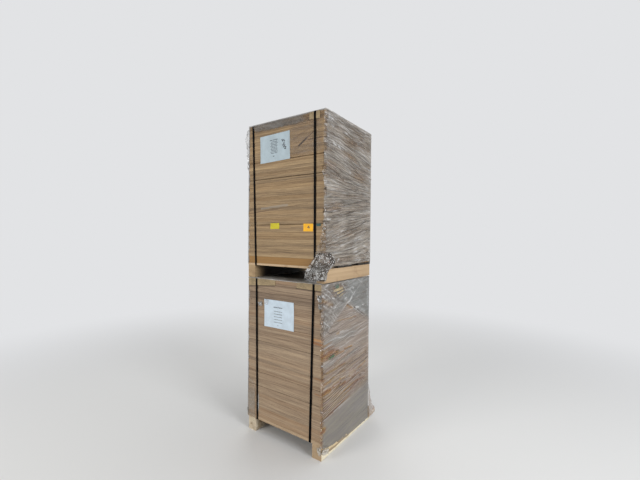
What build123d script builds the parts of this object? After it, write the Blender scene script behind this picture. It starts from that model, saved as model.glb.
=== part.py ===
from build123d import *
import os
import random
from dataclasses import dataclass
from itertools import cycle
from math import cos, radians, sin

# Stack of oak panels: two packs, one standing on the other.
# Each pack is forty panels laid flat on deck boards and two bearers, held by two straps
# over edge protectors and wrapped in stretch film that is torn open at the front.
# Millimetres. +X runs to the right along the front, +Y from the front to the back, +Z up.
# The origin is on the floor, under the middle of the whole stack with its loose film.

# Places of the two packs' footprints
lower_x = 14.0
lower_y = -47.0
upper_shift_x = -12.7
upper_shift_y = 26.1
upper_turn = 1.43

# Panels, and the seats between pieces that lie on each other
seat = 0.3
panel_thick = 27.0
courses = 40
lower_wide = 725.0
lower_deep = 680.0
upper_wide = 741.0
upper_deep = 707.0
end_slip = 8.0
end_trim = 3.0
face_slip = 1.3

# Open joints: the courses, counted from the bottom, whose front edge is lifted a little
lower_open_joints = (9, 13, 22, 36)
upper_open_joints = (11, 24, 29)
lower_joint_tall = 2.0
lower_joint_deep = 4.0
upper_joint_tall = 4.0
upper_joint_deep = 9.0

# Bundles that the panels were stacked in, from the bottom: the number of courses in each,
# and how far each stands in at its right end
lower_bundle_courses = (7, 9, 6, 8, 10)
upper_bundle_courses = (11, 13, 5, 6, 5)
lower_bundle_steps = (2.1, 0.0, 4.9, 0.7, 2.8)
upper_bundle_steps = (2.1, 0.0, 14.0, 0.0, 2.8)

# Bearers
lower_bearer_tall = 100.0
upper_bearer_tall = 98.0
lower_bearer_wide = 80.0
upper_bearer_wide = 70.0
lower_bearer_long = 714.0
upper_bearer_long = 700.0
lower_left_bearer_inset = 12.0
lower_right_bearer_inset = -4.0
upper_left_bearer_inset = 4.0
upper_right_bearer_inset = 0.0
bearer_bevel = 3.0

# Deck boards, from the front, and the gap behind each
lower_deck_thick = 22.0
upper_deck_thick = 15.0
lower_boards = (82.0, 110.0, 130.0, 96.0, 108.0, 72.0)
upper_boards = (122.0, 101.0, 102.0, 104.0, 105.0)
lower_gaps = (22.0, 8.0)
upper_gaps = (50.0, 8.0, 110.0, 8.0)
narrowest_board = 50.0

# Straps: how far in from the load's side the upper end lies, and from the bearer the lower
strap_wide = 19.0
strap_thick = 1.0
strap_bend = 1.2
strap_lean_room = 0.5
lower_left_strap_inset = 91.0
lower_right_strap_inset = 72.0
upper_left_strap_inset = 46.0
upper_right_strap_inset = 91.0
lower_left_strap_clear = 5.5
lower_right_strap_clear = 11.5
upper_left_strap_clear = 2.5
upper_right_strap_clear = 4.5

# Edge protectors: reach from the strap to the outer and the inner end, and drop of each end
protector_thick = 3.0
protector_leg_back = 45.0
protector_bend = 2.5
lower_left_protector_out = 90.0
lower_left_protector_in = 199.0
lower_left_protector_outer_drop = 64.0
lower_left_protector_inner_drop = 43.0
lower_right_protector_out = 72.0
lower_right_protector_in = 153.0
lower_right_protector_outer_drop = 46.0
lower_right_protector_inner_drop = 42.0
upper_right_protector_out = 40.0
upper_right_protector_in = 48.0
upper_right_protector_outer_drop = 57.0
upper_right_protector_inner_drop = 50.0

# Stretch film
film_thick = 1.2
film_lip = 22.0
film_lap_tall = 80.0
film_lap_clear = 8.0
lower_hem = 108.0
upper_hem = 11.0
upper_hem_rise = 13.0
upper_hem_level = 340.0
hem_flare_out = 24.0
hem_flare_tall = 72.0

# The lower film's right wall: its hem falls towards the rear, where a torn corner stands out
skirt_front_hem = 95.0
skirt_middle_hem = 22.0
skirt_rear_hem = 16.0
skirt_fall = 120.0
loose_corner_out = 88.0
loose_corner_low = 30.0
loose_corner_blunt = 22.0
loose_corner_neck_out = 26.0
loose_corner_neck = 105.0
loose_corner_root = 300.0

# Tuft of torn film round the upper load's front right bottom corner
tuft_above = 112.0
tuft_below = 78.0
tuft_along = 168.0
tuft_round = 122.0
tuft_bulge = 36.0

# Tail of torn film beside the upper load's left front edge
tail_top = 24.0
tail_long = 320.0
tail_out = 50.0

# Labels: clear of the left strap, and below the top of the load
sheet_wide = 297.0
sheet_tall = 210.0
sheet_thick = 0.3
lower_label_clear = 73.0
lower_label_drop = 152.0
lower_label_turn = 0.5
upper_label_clear = 64.0
upper_label_drop = 96.0
upper_label_turn = 1.5

# Stickers: clear of a strap, and their upper edge above the underside of the load
yellow_wide = 90.0
yellow_tall = 44.0
yellow_clear = 153.0
yellow_rise = 314.0
orange_wide = 85.0
orange_tall = 55.0
orange_clear = 6.5
orange_rise = 305.0
orange_turn = -1.0

front_stand = seat + protector_thick + seat


@dataclass
class Pack:
    """One load on its bearers. Insets are measured inwards from the pack's own sides."""

    name: str
    x: float
    y: float
    turn: float
    foot: float
    wide: float
    deep: float
    bearer_tall: float
    bearer_wide: float
    bearer_long: float
    bearer_insets: dict
    deck_thick: float
    boards: tuple
    gaps: tuple
    bundle_courses: tuple
    bundle_steps: tuple
    open_joints: tuple
    joint_tall: float
    joint_deep: float
    seed: int

    @property
    def deck(self):
        """Underside of the deck boards."""
        return self.foot + self.bearer_tall + seat

    @property
    def load(self):
        """Underside of the lowest panel."""
        return self.deck + self.deck_thick + seat

    @property
    def top(self):
        """Upper face of the highest panel."""
        return self.load + courses * (panel_thick + seat) - seat

    @property
    def cover(self):
        """Upper face of the film that lies over the protectors and straps."""
        return self.top + front_stand + strap_thick + film_thick + seat

    @property
    def film_front(self):
        """Depth of the outer face of the film's lips at the front."""
        return -self.deep / 2 - front_stand - film_thick

    @property
    def film_back(self):
        """Depth of the outer face of the film's back wall, clear of the straps."""
        return self.deep / 2 + front_stand + strap_thick + seat + film_thick

    @property
    def film_left(self):
        """Place across of the outer face of the film's left wall."""
        return -self.wide / 2 - seat - film_thick

    @property
    def film_right(self):
        """Place across of the outer face of the film's right wall, clear of the bearer."""
        bearer_proud = max(0.0, -self.bearer_insets["right"])
        return self.wide / 2 + bearer_proud + seat + film_thick

    def level(self, height):
        """Horizontal plane of the pack, centred on its footprint."""
        angle = radians(self.turn)
        return Plane(
            origin=(self.x, self.y, height),
            x_dir=(cos(angle), sin(angle), 0),
            z_dir=(0, 0, 1),
        )

    def side(self, across, lean=0.0):
        """Upright plane seen from the right: its x is the pack's depth, its y is up."""
        flat = self.level(0)
        normal = (flat.x_dir * cos(radians(lean)) - flat.z_dir * sin(radians(lean))).normalized()
        return Plane(origin=flat.origin + flat.x_dir * across, x_dir=flat.y_dir, z_dir=normal)

    def front(self, stand_off):
        """Upright plane in front of the load: its x runs right, its y is up, its z forward."""
        flat = self.level(0)
        origin = flat.origin - flat.y_dir * (self.deep / 2 + stand_off)
        return Plane(origin=origin, x_dir=flat.x_dir, z_dir=-flat.y_dir)

    def back(self, stand_off):
        """Upright plane behind the load: its x runs left, its y is up, its z backward."""
        flat = self.level(0)
        origin = flat.origin + flat.y_dir * (self.deep / 2 + stand_off)
        return Plane(origin=origin, x_dir=-flat.x_dir, z_dir=flat.y_dir)


@dataclass
class Strap:
    """A strap round a pack. It leans a little, from beside the bearer to its upper end."""

    pack: Pack
    hand: str
    top_inset: float
    bearer_clear: float
    protected: bool

    @property
    def sign(self):
        """Side of the pack that the strap is on: -1 left, 1 right."""
        return -1 if self.hand == "left" else 1

    @property
    def over(self):
        """Gap between the strap and the load at the top edges, with room for its lean."""
        return front_stand if self.protected else seat + strap_lean_room

    @property
    def low(self):
        """Height of the strap's inner face under the deck boards."""
        return self.pack.deck - seat - strap_lean_room

    @property
    def high(self):
        """Height of the strap's inner face over the load."""
        return self.pack.top + self.over

    def across(self, height):
        """Place across of the strap's middle line at a height."""
        inset = self.pack.bearer_insets[self.hand] + self.pack.bearer_wide
        bottom_inset = inset + self.bearer_clear + strap_wide / 2
        share = (height - self.low) / (self.high - self.low)
        here = bottom_inset + (self.top_inset - bottom_inset) * share
        return self.sign * (self.pack.wide / 2 - here)


lower = Pack(
    name="lower",
    x=lower_x,
    y=lower_y,
    turn=0.0,
    foot=0.0,
    wide=lower_wide,
    deep=lower_deep,
    bearer_tall=lower_bearer_tall,
    bearer_wide=lower_bearer_wide,
    bearer_long=lower_bearer_long,
    bearer_insets={"left": lower_left_bearer_inset, "right": lower_right_bearer_inset},
    deck_thick=lower_deck_thick,
    boards=lower_boards,
    gaps=lower_gaps,
    bundle_courses=lower_bundle_courses,
    bundle_steps=lower_bundle_steps,
    open_joints=lower_open_joints,
    joint_tall=lower_joint_tall,
    joint_deep=lower_joint_deep,
    seed=11,
)
upper = Pack(
    name="upper",
    x=lower_x + upper_shift_x,
    y=lower_y + upper_shift_y,
    turn=upper_turn,
    foot=lower.cover + seat,
    wide=upper_wide,
    deep=upper_deep,
    bearer_tall=upper_bearer_tall,
    bearer_wide=upper_bearer_wide,
    bearer_long=upper_bearer_long,
    bearer_insets={"left": upper_left_bearer_inset, "right": upper_right_bearer_inset},
    deck_thick=upper_deck_thick,
    boards=upper_boards,
    gaps=upper_gaps,
    bundle_courses=upper_bundle_courses,
    bundle_steps=upper_bundle_steps,
    open_joints=upper_open_joints,
    joint_tall=upper_joint_tall,
    joint_deep=upper_joint_deep,
    seed=5,
)

lower_left_strap = Strap(lower, "left", lower_left_strap_inset, lower_left_strap_clear, True)
lower_right_strap = Strap(lower, "right", lower_right_strap_inset, lower_right_strap_clear, True)
upper_left_strap = Strap(upper, "left", upper_left_strap_inset, upper_left_strap_clear, False)
upper_right_strap = Strap(upper, "right", upper_right_strap_inset, upper_right_strap_clear, True)


def save(part, node):
    """Labels a finished piece with its node's name and writes it."""
    part.label = node
    export_step(part, f"parts/{node}.step")
    print(f"{node:32s} {len(part.solids()):3d} solids")


def build_bearer(pack, hand):
    """A sawn softwood bearer from front to back, its long edges slightly bevelled."""
    sign = -1 if hand == "left" else 1
    across = sign * (pack.wide / 2 - pack.bearer_insets[hand] - pack.bearer_wide / 2)
    with BuildPart() as bearer:
        with BuildSketch(pack.front(0)):
            with Locations((across, pack.foot + pack.bearer_tall / 2)):
                Rectangle(pack.bearer_wide, pack.bearer_tall)
        extrude(amount=-pack.bearer_long)
        chamfer(bearer.edges().filter_by(Axis((0, 0, 0), pack.level(0).y_dir)), bearer_bevel)
    save(bearer.part, f"{pack.name}_{hand}_bearer")


def deck_spans(pack):
    """Each board's start and end in depth: whole boards from the front, the last one fitted."""
    spans = []
    start = 0.0
    for board, gap in zip(cycle(pack.boards), cycle(pack.gaps)):
        end = start + board
        if pack.deep - end - gap < narrowest_board:
            spans.append((start, pack.deep))
            return spans
        spans.append((start, end))
        start = end + gap


def build_deck(pack):
    """Boards across the bearers, with open gaps between them."""
    with BuildPart() as deck:
        for start, end in deck_spans(pack):
            with BuildSketch(pack.level(pack.deck)):
                with Locations((0, (start + end - pack.deep) / 2)):
                    Rectangle(pack.wide, end - start)
            extrude(amount=pack.deck_thick)
    save(deck.part, f"{pack.name}_deck_boards")


def bundle_step(pack, number):
    """How far a course's end steps back. The bundles repeat up the pack."""
    number %= sum(pack.bundle_courses)
    for size, step in zip(pack.bundle_courses, pack.bundle_steps):
        if number < size:
            return step
        number -= size


def build_panels(pack):
    """The panels, course by course. Each slips a little at its ends, on top of its bundle's
    step. Above an open joint the panel's front edge is lifted by a shallow recess."""
    draw = random.Random(pack.seed)
    with BuildPart() as panels:
        for number in range(courses):
            base = pack.load + number * (panel_thick + seat)
            left = -pack.wide / 2 + draw.uniform(0, end_slip) + draw.choice((0, end_trim))
            right = pack.wide / 2 - draw.uniform(0, end_slip) - bundle_step(pack, number)
            front = -pack.deep / 2 + draw.uniform(0, face_slip)
            back = pack.deep / 2 - draw.uniform(0, end_slip)
            foot = [(front, base)]
            if number in pack.open_joints:
                foot = [(front, base + pack.joint_tall), (front + pack.joint_deep, base)]
            with BuildSketch(pack.side((left + right) / 2)):
                with BuildLine():
                    Polyline(
                        *foot,
                        (back, base),
                        (back, base + panel_thick),
                        (front, base + panel_thick),
                        close=True,
                    )
                make_face()
            extrude(amount=(right - left) / 2, both=True)
    save(panels.part, f"{pack.name}_panels")


def build_strap(strap):
    """A strap drawn round the load and its deck, bent over the edge protectors."""
    slope = Vector(strap.across(strap.high) - strap.across(strap.low), strap.high - strap.low)
    lean = Vector(0, 1).get_signed_angle(slope)
    middle = (strap.low + strap.high) / 2
    plane = strap.pack.side(strap.across(middle), lean)
    plane.origin = plane.origin + Vector(0, 0, middle)
    reach = slope.length / 2
    near = strap.pack.deep / 2 + seat
    far = strap.pack.deep / 2 + strap.over
    with BuildPart() as band:
        with BuildSketch(plane):
            with BuildLine():
                FilletPolyline(
                    (-near, -reach),
                    (near, -reach),
                    (far, reach),
                    (-far, reach),
                    radius=strap_bend,
                    close=True,
                )
            inside = make_face()
            offset(amount=strap_thick)
            add(inside, mode=Mode.SUBTRACT)
        extrude(amount=strap_wide / 2, both=True)
    save(band.part, f"{strap.pack.name}_{strap.hand}_strap")


def build_protector(strap, end, reach_out, reach_in, outer_drop, inner_drop):
    """An angle of pressed board under a strap, on the front or the rear top edge."""
    pack = strap.pack
    middle = strap.across(strap.high)
    outer_x = middle + strap.sign * reach_out
    inner_x = middle - strap.sign * reach_in
    plane = pack.front(seat)
    if end == "rear":
        plane = pack.back(seat)
        outer_x, inner_x = -outer_x, -inner_x
    high = pack.top + seat + protector_thick
    with BuildPart() as protector:
        with BuildSketch(plane):
            with BuildLine():
                Polyline(
                    (outer_x, high),
                    (inner_x, high),
                    (inner_x, high - inner_drop),
                    (outer_x, high - outer_drop),
                    close=True,
                )
            make_face()
        extrude(amount=protector_thick)
        with BuildSketch(plane):
            with Locations(((outer_x + inner_x) / 2, high - protector_thick / 2)):
                Rectangle(abs(outer_x - inner_x), protector_thick)
        extrude(amount=-protector_leg_back)
        outwards = Axis(plane.origin, plane.z_dir)
        corner = protector.edges().group_by(Axis.Z)[-1].sort_by(outwards)[-1]
        fillet(corner, protector_bend)
    save(protector.part, f"{pack.name}_{strap.hand}_{end}_protector")


def film_piece(plane, outline, thick=film_thick):
    """A piece of film: an outline drawn on a plane, given a thickness along its normal."""
    with BuildPart() as piece:
        with BuildSketch(plane):
            with BuildLine():
                Polyline(*outline, close=True)
            make_face()
        extrude(amount=thick)
    return piece.part


def box_outline(left, right, low, high):
    """The four corners of an upright rectangle."""
    return ((left, low), (right, low), (right, high), (left, high))


def film_shell(pack, left_section, back_hem):
    """The film's left wall, given by its section, its back wall and its top."""
    length = pack.film_back - pack.film_front
    rear = pack.back(pack.film_back - pack.deep / 2 - film_thick)
    far = pack.front(-pack.film_back - pack.deep / 2)
    back = box_outline(-pack.film_right, -pack.film_left, back_hem, pack.cover)
    top = box_outline(pack.film_left, pack.film_right, pack.cover - film_thick, pack.cover)
    return [
        film_piece(far, left_section, length),
        film_piece(rear, back),
        film_piece(far, top, length),
    ]


def film_skirt(pack):
    """The lower film's right wall. Its hem falls in a curve from the front to the end of the
    bearer, and a torn corner stands out behind."""
    bearer_end = pack.bearer_long - pack.deep / 2
    fall_middle = skirt_fall - pack.deep / 2
    low_tip = (bearer_end + loose_corner_out, loose_corner_low)
    high_tip = (bearer_end + loose_corner_out, loose_corner_low + loose_corner_blunt)
    with BuildPart() as skirt:
        with BuildSketch(pack.side(pack.film_right - film_thick)):
            with BuildLine():
                hem = Bezier(
                    (pack.film_front, skirt_front_hem),
                    (fall_middle, skirt_middle_hem),
                    (bearer_end, skirt_rear_hem),
                )
                Polyline(
                    hem @ 1,
                    low_tip,
                    high_tip,
                    (bearer_end + loose_corner_neck_out, loose_corner_neck),
                    (pack.film_back, loose_corner_root),
                    (pack.film_back, pack.cover),
                    (pack.film_front, pack.cover),
                    hem @ 0,
                )
            make_face()
        extrude(amount=film_thick)
    return skirt.part


def build_lower_film(pack):
    """Film of the lower pack. Its right wall hangs over the bearer down to the floor, and
    its left hem flares out above the bearer."""
    outer = pack.film_left
    inner = outer + film_thick
    flare_top = lower_hem + hem_flare_tall
    flare_mid = lower_hem + hem_flare_tall / 2
    left_section = (
        (inner, pack.cover),
        (inner, flare_top),
        (inner - hem_flare_out, flare_mid),
        (inner, lower_hem),
        (outer, lower_hem),
        (outer - hem_flare_out, flare_mid),
        (outer, flare_top),
        (outer, pack.cover),
    )
    right_lip = box_outline(pack.film_right - film_lip, pack.film_right, lower_hem, pack.cover)
    left_lip = box_outline(outer, outer + film_lip, flare_top, pack.cover)
    pieces = [film_skirt(pack), *film_shell(pack, left_section, lower_hem)]
    pieces += [film_piece(pack.front(front_stand), lip) for lip in (right_lip, left_lip)]
    with BuildPart() as film:
        add(pieces)
    save(film.part, "lower_film")


def build_upper_film(pack, left_strap, right_strap):
    """Film of the upper pack. It ends above the bearers, its right hem rises towards the
    rear, and it laps over the top front edge, between the left strap and the right strap's
    protector."""
    hem = pack.deck + upper_hem
    outer = pack.film_left
    protector_end = right_strap.across(right_strap.high) - upper_right_protector_in
    lap_left = left_strap.across(left_strap.high) + strap_wide / 2 + film_lap_clear
    lap_right = protector_end - film_lap_clear
    lap = box_outline(lap_left, lap_right, pack.cover - film_lap_tall, pack.cover)
    right_lip = box_outline(pack.film_right - film_lip, pack.film_right, hem, pack.cover)
    left_lip = box_outline(outer, outer + film_lip, hem, pack.cover)
    left_section = box_outline(outer, outer + film_thick, hem, pack.cover)
    right_wall = (
        (pack.film_front, hem),
        (upper_hem_level - pack.deep / 2, hem),
        (pack.film_back, hem + upper_hem_rise),
        (pack.film_back, pack.cover),
        (pack.film_front, pack.cover),
    )
    pieces = film_shell(pack, left_section, hem)
    pieces.append(film_piece(pack.side(pack.film_right - film_thick), right_wall))
    pieces += [film_piece(pack.front(front_stand), lip) for lip in (right_lip, left_lip, lap)]
    with BuildPart() as film:
        add(pieces)
    save(film.part, "upper_film")


def build_tuft(pack):
    """Torn film gathered round the upper load's front right bottom corner.

    It is lofted from the top down through level sections. Each is given in shares of the
    tuft's sizes: height over or under the deck's underside, reach along the front, reach
    round the side, and bulge."""
    sections = (
        (1.0, 0.31, 0.46, 0.14),
        (0.68, 0.55, 0.97, 0.42),
        (0.32, 0.73, 1.0, 0.64),
        (0.12, 0.81, 0.43, 0.83),
        (-0.26, 0.94, 0.05, 1.0),
        (-0.74, 1.0, -0.02, 0.83),
        (-1.0, 0.71, -0.03, 0.33),
    )
    right = pack.wide / 2
    inner_x = pack.film_right + seat
    inner_y = pack.film_front - seat
    with BuildPart() as tuft:
        for rise, along, round_side, bulge in sections:
            height = pack.deck + rise * (tuft_above if rise > 0 else tuft_below)
            left = right - along * tuft_along
            rear = round_side * tuft_round
            out = bulge * tuft_bulge
            with BuildSketch(pack.level(height)):
                with BuildLine():
                    Polyline(
                        (left, inner_y),
                        (inner_x, inner_y),
                        (inner_x, rear - pack.deep / 2),
                        (inner_x + out * 0.4, rear * 0.7 - pack.deep / 2),
                        (inner_x + out * 0.8, inner_y - out * 0.8),
                        (right - along * tuft_along * 0.45, inner_y - out * 1.2),
                        (left + along * tuft_along * 0.05, inner_y - out * 0.5),
                        close=True,
                    )
                make_face()
        loft(ruled=True)
    save(tuft.part, "upper_film_tuft")


def build_tail(pack):
    """A torn strip of film that stands out from the load's left front edge. Its outline is
    given in shares of how far it stands out and of its length."""
    outline = ((0, 0), (0.68, 0.04), (1.0, 0.21), (0.72, 0.48), (0.3, 0.74), (0, 1.0))
    root = pack.film_left - seat
    high = pack.top - tail_top
    points = [(root - out * tail_out, high - down * tail_long) for out, down in outline]
    tail = film_piece(pack.front(front_stand), points)
    save(tail, "upper_film_tail")


def build_sheet(node, strap, hand, clear, top, wide, tall, turn=0.0):
    """A flat sheet stuck on the front, to the right or the left of a strap."""
    sign = -1 if hand == "left" else 1
    middle = top - tall / 2
    across = strap.across(middle) + sign * (strap_wide / 2 + clear + wide / 2)
    with BuildPart() as sheet:
        with BuildSketch(strap.pack.front(seat)):
            with Locations((across, middle)):
                Rectangle(wide, tall, rotation=turn)
        extrude(amount=sheet_thick)
    save(sheet.part, node)


os.makedirs("parts", exist_ok=True)

for pack in (lower, upper):
    build_panels(pack)
    build_deck(pack)
    for hand in ("left", "right"):
        build_bearer(pack, hand)


for strap in (lower_left_strap, lower_right_strap, upper_left_strap, upper_right_strap):
    build_strap(strap)

for end in ("front", "rear"):
    build_protector(
        lower_left_strap,
        end,
        lower_left_protector_out,
        lower_left_protector_in,
        lower_left_protector_outer_drop,
        lower_left_protector_inner_drop,
    )
    build_protector(
        lower_right_strap,
        end,
        lower_right_protector_out,
        lower_right_protector_in,
        lower_right_protector_outer_drop,
        lower_right_protector_inner_drop,
    )
    build_protector(
        upper_right_strap,
        end,
        upper_right_protector_out,
        upper_right_protector_in,
        upper_right_protector_outer_drop,
        upper_right_protector_inner_drop,
    )

build_lower_film(lower)
build_upper_film(upper, upper_left_strap, upper_right_strap)
build_tuft(upper)
build_tail(upper)

lower_label_top = lower.top - lower_label_drop
upper_label_top = upper.top - upper_label_drop
yellow_top = upper.load + yellow_rise
orange_top = upper.load + orange_rise
build_sheet(
    "lower_label",
    lower_left_strap,
    "right",
    lower_label_clear,
    lower_label_top,
    sheet_wide,
    sheet_tall,
    lower_label_turn,
)
build_sheet(
    "upper_label",
    upper_left_strap,
    "right",
    upper_label_clear,
    upper_label_top,
    sheet_wide,
    sheet_tall,
    upper_label_turn,
)
build_sheet(
    "yellow_sticker", upper_left_strap, "right", yellow_clear, yellow_top, yellow_wide, yellow_tall
)
build_sheet(
    "orange_sticker",
    upper_right_strap,
    "left",
    orange_clear,
    orange_top,
    orange_wide,
    orange_tall,
    orange_turn,
)
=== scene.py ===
# %% [markdown]
# # A strapped stack of oak panels
#
# Two packs of oak panels stand one on the other, each on two bearers, under stretch film.
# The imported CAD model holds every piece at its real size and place. This notebook gives the
# pieces their looks. The first cell loads the CAD model as a fixed frame, and every later
# size or place is read from it or is a named value in metres.

# %% Load the frame
import math

import bpy
import numpy as np
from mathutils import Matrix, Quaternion, Vector


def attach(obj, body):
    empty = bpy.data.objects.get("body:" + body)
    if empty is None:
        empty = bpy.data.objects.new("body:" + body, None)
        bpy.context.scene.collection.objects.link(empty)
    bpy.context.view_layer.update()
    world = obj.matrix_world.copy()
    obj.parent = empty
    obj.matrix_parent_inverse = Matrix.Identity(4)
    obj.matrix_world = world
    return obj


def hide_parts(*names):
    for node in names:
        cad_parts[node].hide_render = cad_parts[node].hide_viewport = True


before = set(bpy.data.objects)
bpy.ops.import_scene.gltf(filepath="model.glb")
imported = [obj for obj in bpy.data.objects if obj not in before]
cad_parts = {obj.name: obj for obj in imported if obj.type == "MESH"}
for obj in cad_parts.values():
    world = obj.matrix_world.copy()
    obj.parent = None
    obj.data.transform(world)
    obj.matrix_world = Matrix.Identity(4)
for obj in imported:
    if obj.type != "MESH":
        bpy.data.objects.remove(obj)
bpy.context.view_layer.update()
scene = bpy.context.scene

# %% [markdown]
# ## The camera
#
# A camera is a place, a direction and a lens. Here all three were worked out from the
# photograph's straight edges: it was taken at eye height, looking almost level, and turned a
# little about its own axis. The heading is given as a unit vector over the floor.

# %% Camera
camera_at = Vector((1.7165, -2.301, 1.54))
heading = (-0.5801, 0.8145)
pitch_down = math.radians(0.3858)
roll = math.radians(0.4704)
lens_mm = 19.199
sensor_mm = 36.0

camera_data = bpy.data.cameras.new("camera")
camera_data.lens = lens_mm
camera_data.sensor_width = sensor_mm
camera = bpy.data.objects.new("camera", camera_data)
scene.collection.objects.link(camera)
level = math.cos(pitch_down)
forward = Vector((heading[0] * level, heading[1] * level, -math.sin(pitch_down)))
camera.location = camera_at
camera.rotation_mode = "QUATERNION"
camera.rotation_quaternion = forward.to_track_quat("-Z", "Y") @ Quaternion((0, 0, 1), roll)
scene.camera = camera
print("camera at", tuple(camera_at), "lens", lens_mm, "mm")

# %% [markdown]
# ## Axes of the two packs
#
# The upper pack is turned a little on the lower one. Each pack gets axes of its own, with
# the origin on the floor under its front right corner, x to the right, y to the back and z
# up. They are found from the corners of its deck boards.


# %% Pack axes
def node_points(node):
    """Corner points of a CAD node, as an array of x, y, z rows."""
    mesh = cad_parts[node].data
    points = np.empty(len(mesh.vertices) * 3, np.float32)
    mesh.vertices.foreach_get("co", points)
    return points.reshape(-1, 3).astype(float)


class Pack:
    """A pack's axes: world = corner + x * ex + y * ey + z, with the corner on the floor."""

    def __init__(self, name):
        self.name = name
        deck = node_points(f"{name}_deck_boards")
        flat = deck[:, :2]
        front_right = flat[np.argmax(flat @ (1, -1))]
        front_left = flat[np.argmin(flat @ (1, 1))]
        back_right = flat[np.argmax(flat @ (1, 1))]
        self.corner = front_right
        self.wide = np.linalg.norm(front_right - front_left)
        self.deep = np.linalg.norm(back_right - front_right)
        self.ex = (front_right - front_left) / self.wide
        self.ey = (back_right - front_right) / self.deep
        self.deck = deck[:, 2].min()
        self.load = node_points(f"{name}_panels")[:, 2].min()
        self.top = node_points(f"{name}_panels")[:, 2].max()
        self.cover = node_points(f"{name}_film")[:, 2].max()

    def local(self, points):
        """Turns world points into the pack's own axes."""
        offset = points[..., :2] - self.corner
        return np.stack([offset @ self.ex, offset @ self.ey, points[..., 2]], axis=-1)

    def world(self, points):
        """Turns points in the pack's own axes into world points."""
        flat = self.corner + points[..., :1] * self.ex + points[..., 1:2] * self.ey
        return np.concatenate([flat, points[..., 2:]], axis=-1)


lower = Pack("lower")
upper = Pack("upper")
for pack in (lower, upper):
    print(f"{pack.name}: {pack.wide:.3f} wide, {pack.deep:.3f} deep, top at {pack.top:.3f}")

# %% [markdown]
# ## Helpers for surfaces
#
# Every new piece is a grid of points worked out with numpy. Three helpers serve all of
# them: a smooth noise that is the same on each run, a list of a grid's faces, and a function
# that puts points and faces into a mesh and makes it ride on the CAD body.

# %% Surface helpers
lattice_size = 256


def smooth(low, high, value):
    """0 below low, 1 above high, and 3t^2 - 2t^3 between them."""
    t = np.clip((value - low) / (high - low), 0, 1)
    return t * t * (3 - 2 * t)


def noise(u, v, seed):
    """Smooth noise from -1 to 1: random values at whole u and v, blended by 3t^2 - 2t^3."""
    lattice = np.random.default_rng(seed).uniform(-1, 1, (lattice_size, lattice_size))
    u, v = np.broadcast_arrays(u, v)
    column, row = np.floor(u).astype(int), np.floor(v).astype(int)
    a, b = u - column, v - row
    a, b = a * a * (3 - 2 * a), b * b * (3 - 2 * b)
    c0, r0 = column % lattice_size, row % lattice_size
    c1, r1 = (column + 1) % lattice_size, (row + 1) % lattice_size
    near = lattice[c0, r0] * (1 - a) + lattice[c1, r0] * a
    far = lattice[c0, r1] * (1 - a) + lattice[c1, r1] * a
    return near * (1 - b) + far * b


def ridges(u, v, seed):
    """Sharp ridges from 0 to 1: one minus the size of the noise, squared."""
    return (1 - np.abs(noise(u, v, seed))) ** 2


def grid_faces(rows, columns):
    """Quads of a grid whose points are numbered row by row."""
    start = np.arange((rows - 1) * columns).reshape(rows - 1, columns)[:, :-1].ravel()
    return np.stack([start, start + 1, start + columns + 1, start + columns], axis=1)


def add_piece(name, points, faces, material, replaces=(), smooth_shading=True):
    """Makes a mesh piece from points and faces, and makes it ride on the CAD body."""
    mesh = bpy.data.meshes.new(name)
    rows = faces.tolist() if isinstance(faces, np.ndarray) else faces
    mesh.from_pydata(points.reshape(-1, 3).tolist(), [], rows)
    mesh.polygons.foreach_set("use_smooth", np.full(len(mesh.polygons), smooth_shading))
    mesh.materials.append(material)
    mesh.update()
    piece = bpy.data.objects.new(name, mesh)
    scene.collection.objects.link(piece)
    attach(piece, "root")
    if replaces:
        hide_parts(*replaces)
    return piece


def add_attribute(piece, name, kind, values):
    """Stores one value, or one vector, for each point of a piece."""
    attribute = piece.data.attributes.new(name, kind, "POINT")
    key = "vector" if kind == "FLOAT_VECTOR" else "value"
    attribute.data.foreach_set(key, np.asarray(values, np.float32).ravel())


# %% [markdown]
# ## Helpers for materials
#
# A material is a tree of nodes. Writing each link by hand hides what the tree does, so two
# short helpers add a node with its values or links in one line. An effect that more than
# one material uses becomes a node group with named inputs and outputs.


# %% Material helpers
def colour(red, green, blue):
    """A colour given as it looks on a screen, 0 to 255, turned into linear light."""
    parts = np.array([red, green, blue]) / 255
    linear = np.where(parts <= 0.04045, parts / 12.92, ((parts + 0.055) / 1.055) ** 2.4)
    return (*linear.tolist(), 1.0)


def set_input(tree, socket, value):
    """Links a socket, or sets its value where value isn't a socket."""
    if isinstance(value, bpy.types.NodeSocket):
        tree.links.new(value, socket)
    else:
        socket.default_value = value


def add_node(tree, kind, inputs=None, **settings):
    """Adds a node with its settings, and sets or links its inputs by name or number."""
    node = tree.nodes.new(f"ShaderNode{kind}")
    for key, value in settings.items():
        setattr(node, key, value)
    for key, value in (inputs or {}).items():
        set_input(tree, node.inputs[key], value)
    return node


def maths(tree, operation, *values, clamp=False):
    """A math node's result, from numbers or sockets."""
    inputs = dict(enumerate(values))
    node = add_node(tree, "Math", inputs, operation=operation, use_clamp=clamp)
    return node.outputs[0]


def times(tree, first, second, clamp=False):
    """The first times the second."""
    return maths(tree, "MULTIPLY", first, second, clamp=clamp)


def plus(tree, first, second):
    """The first plus the second."""
    return maths(tree, "ADD", first, second)


def minus(tree, first, second, clamp=False):
    """The first minus the second."""
    return maths(tree, "SUBTRACT", first, second, clamp=clamp)


def remap(tree, value, low, high, to_low=0.0, to_high=1.0, kind="SMOOTHSTEP"):
    """Carries value from the range low to high over to another range, and stops at its ends."""
    inputs = {"Value": value, "From Min": low, "From Max": high, "To Min": to_low, "To Max": to_high}
    return add_node(tree, "MapRange", inputs, interpolation_type=kind).outputs[0]


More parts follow.
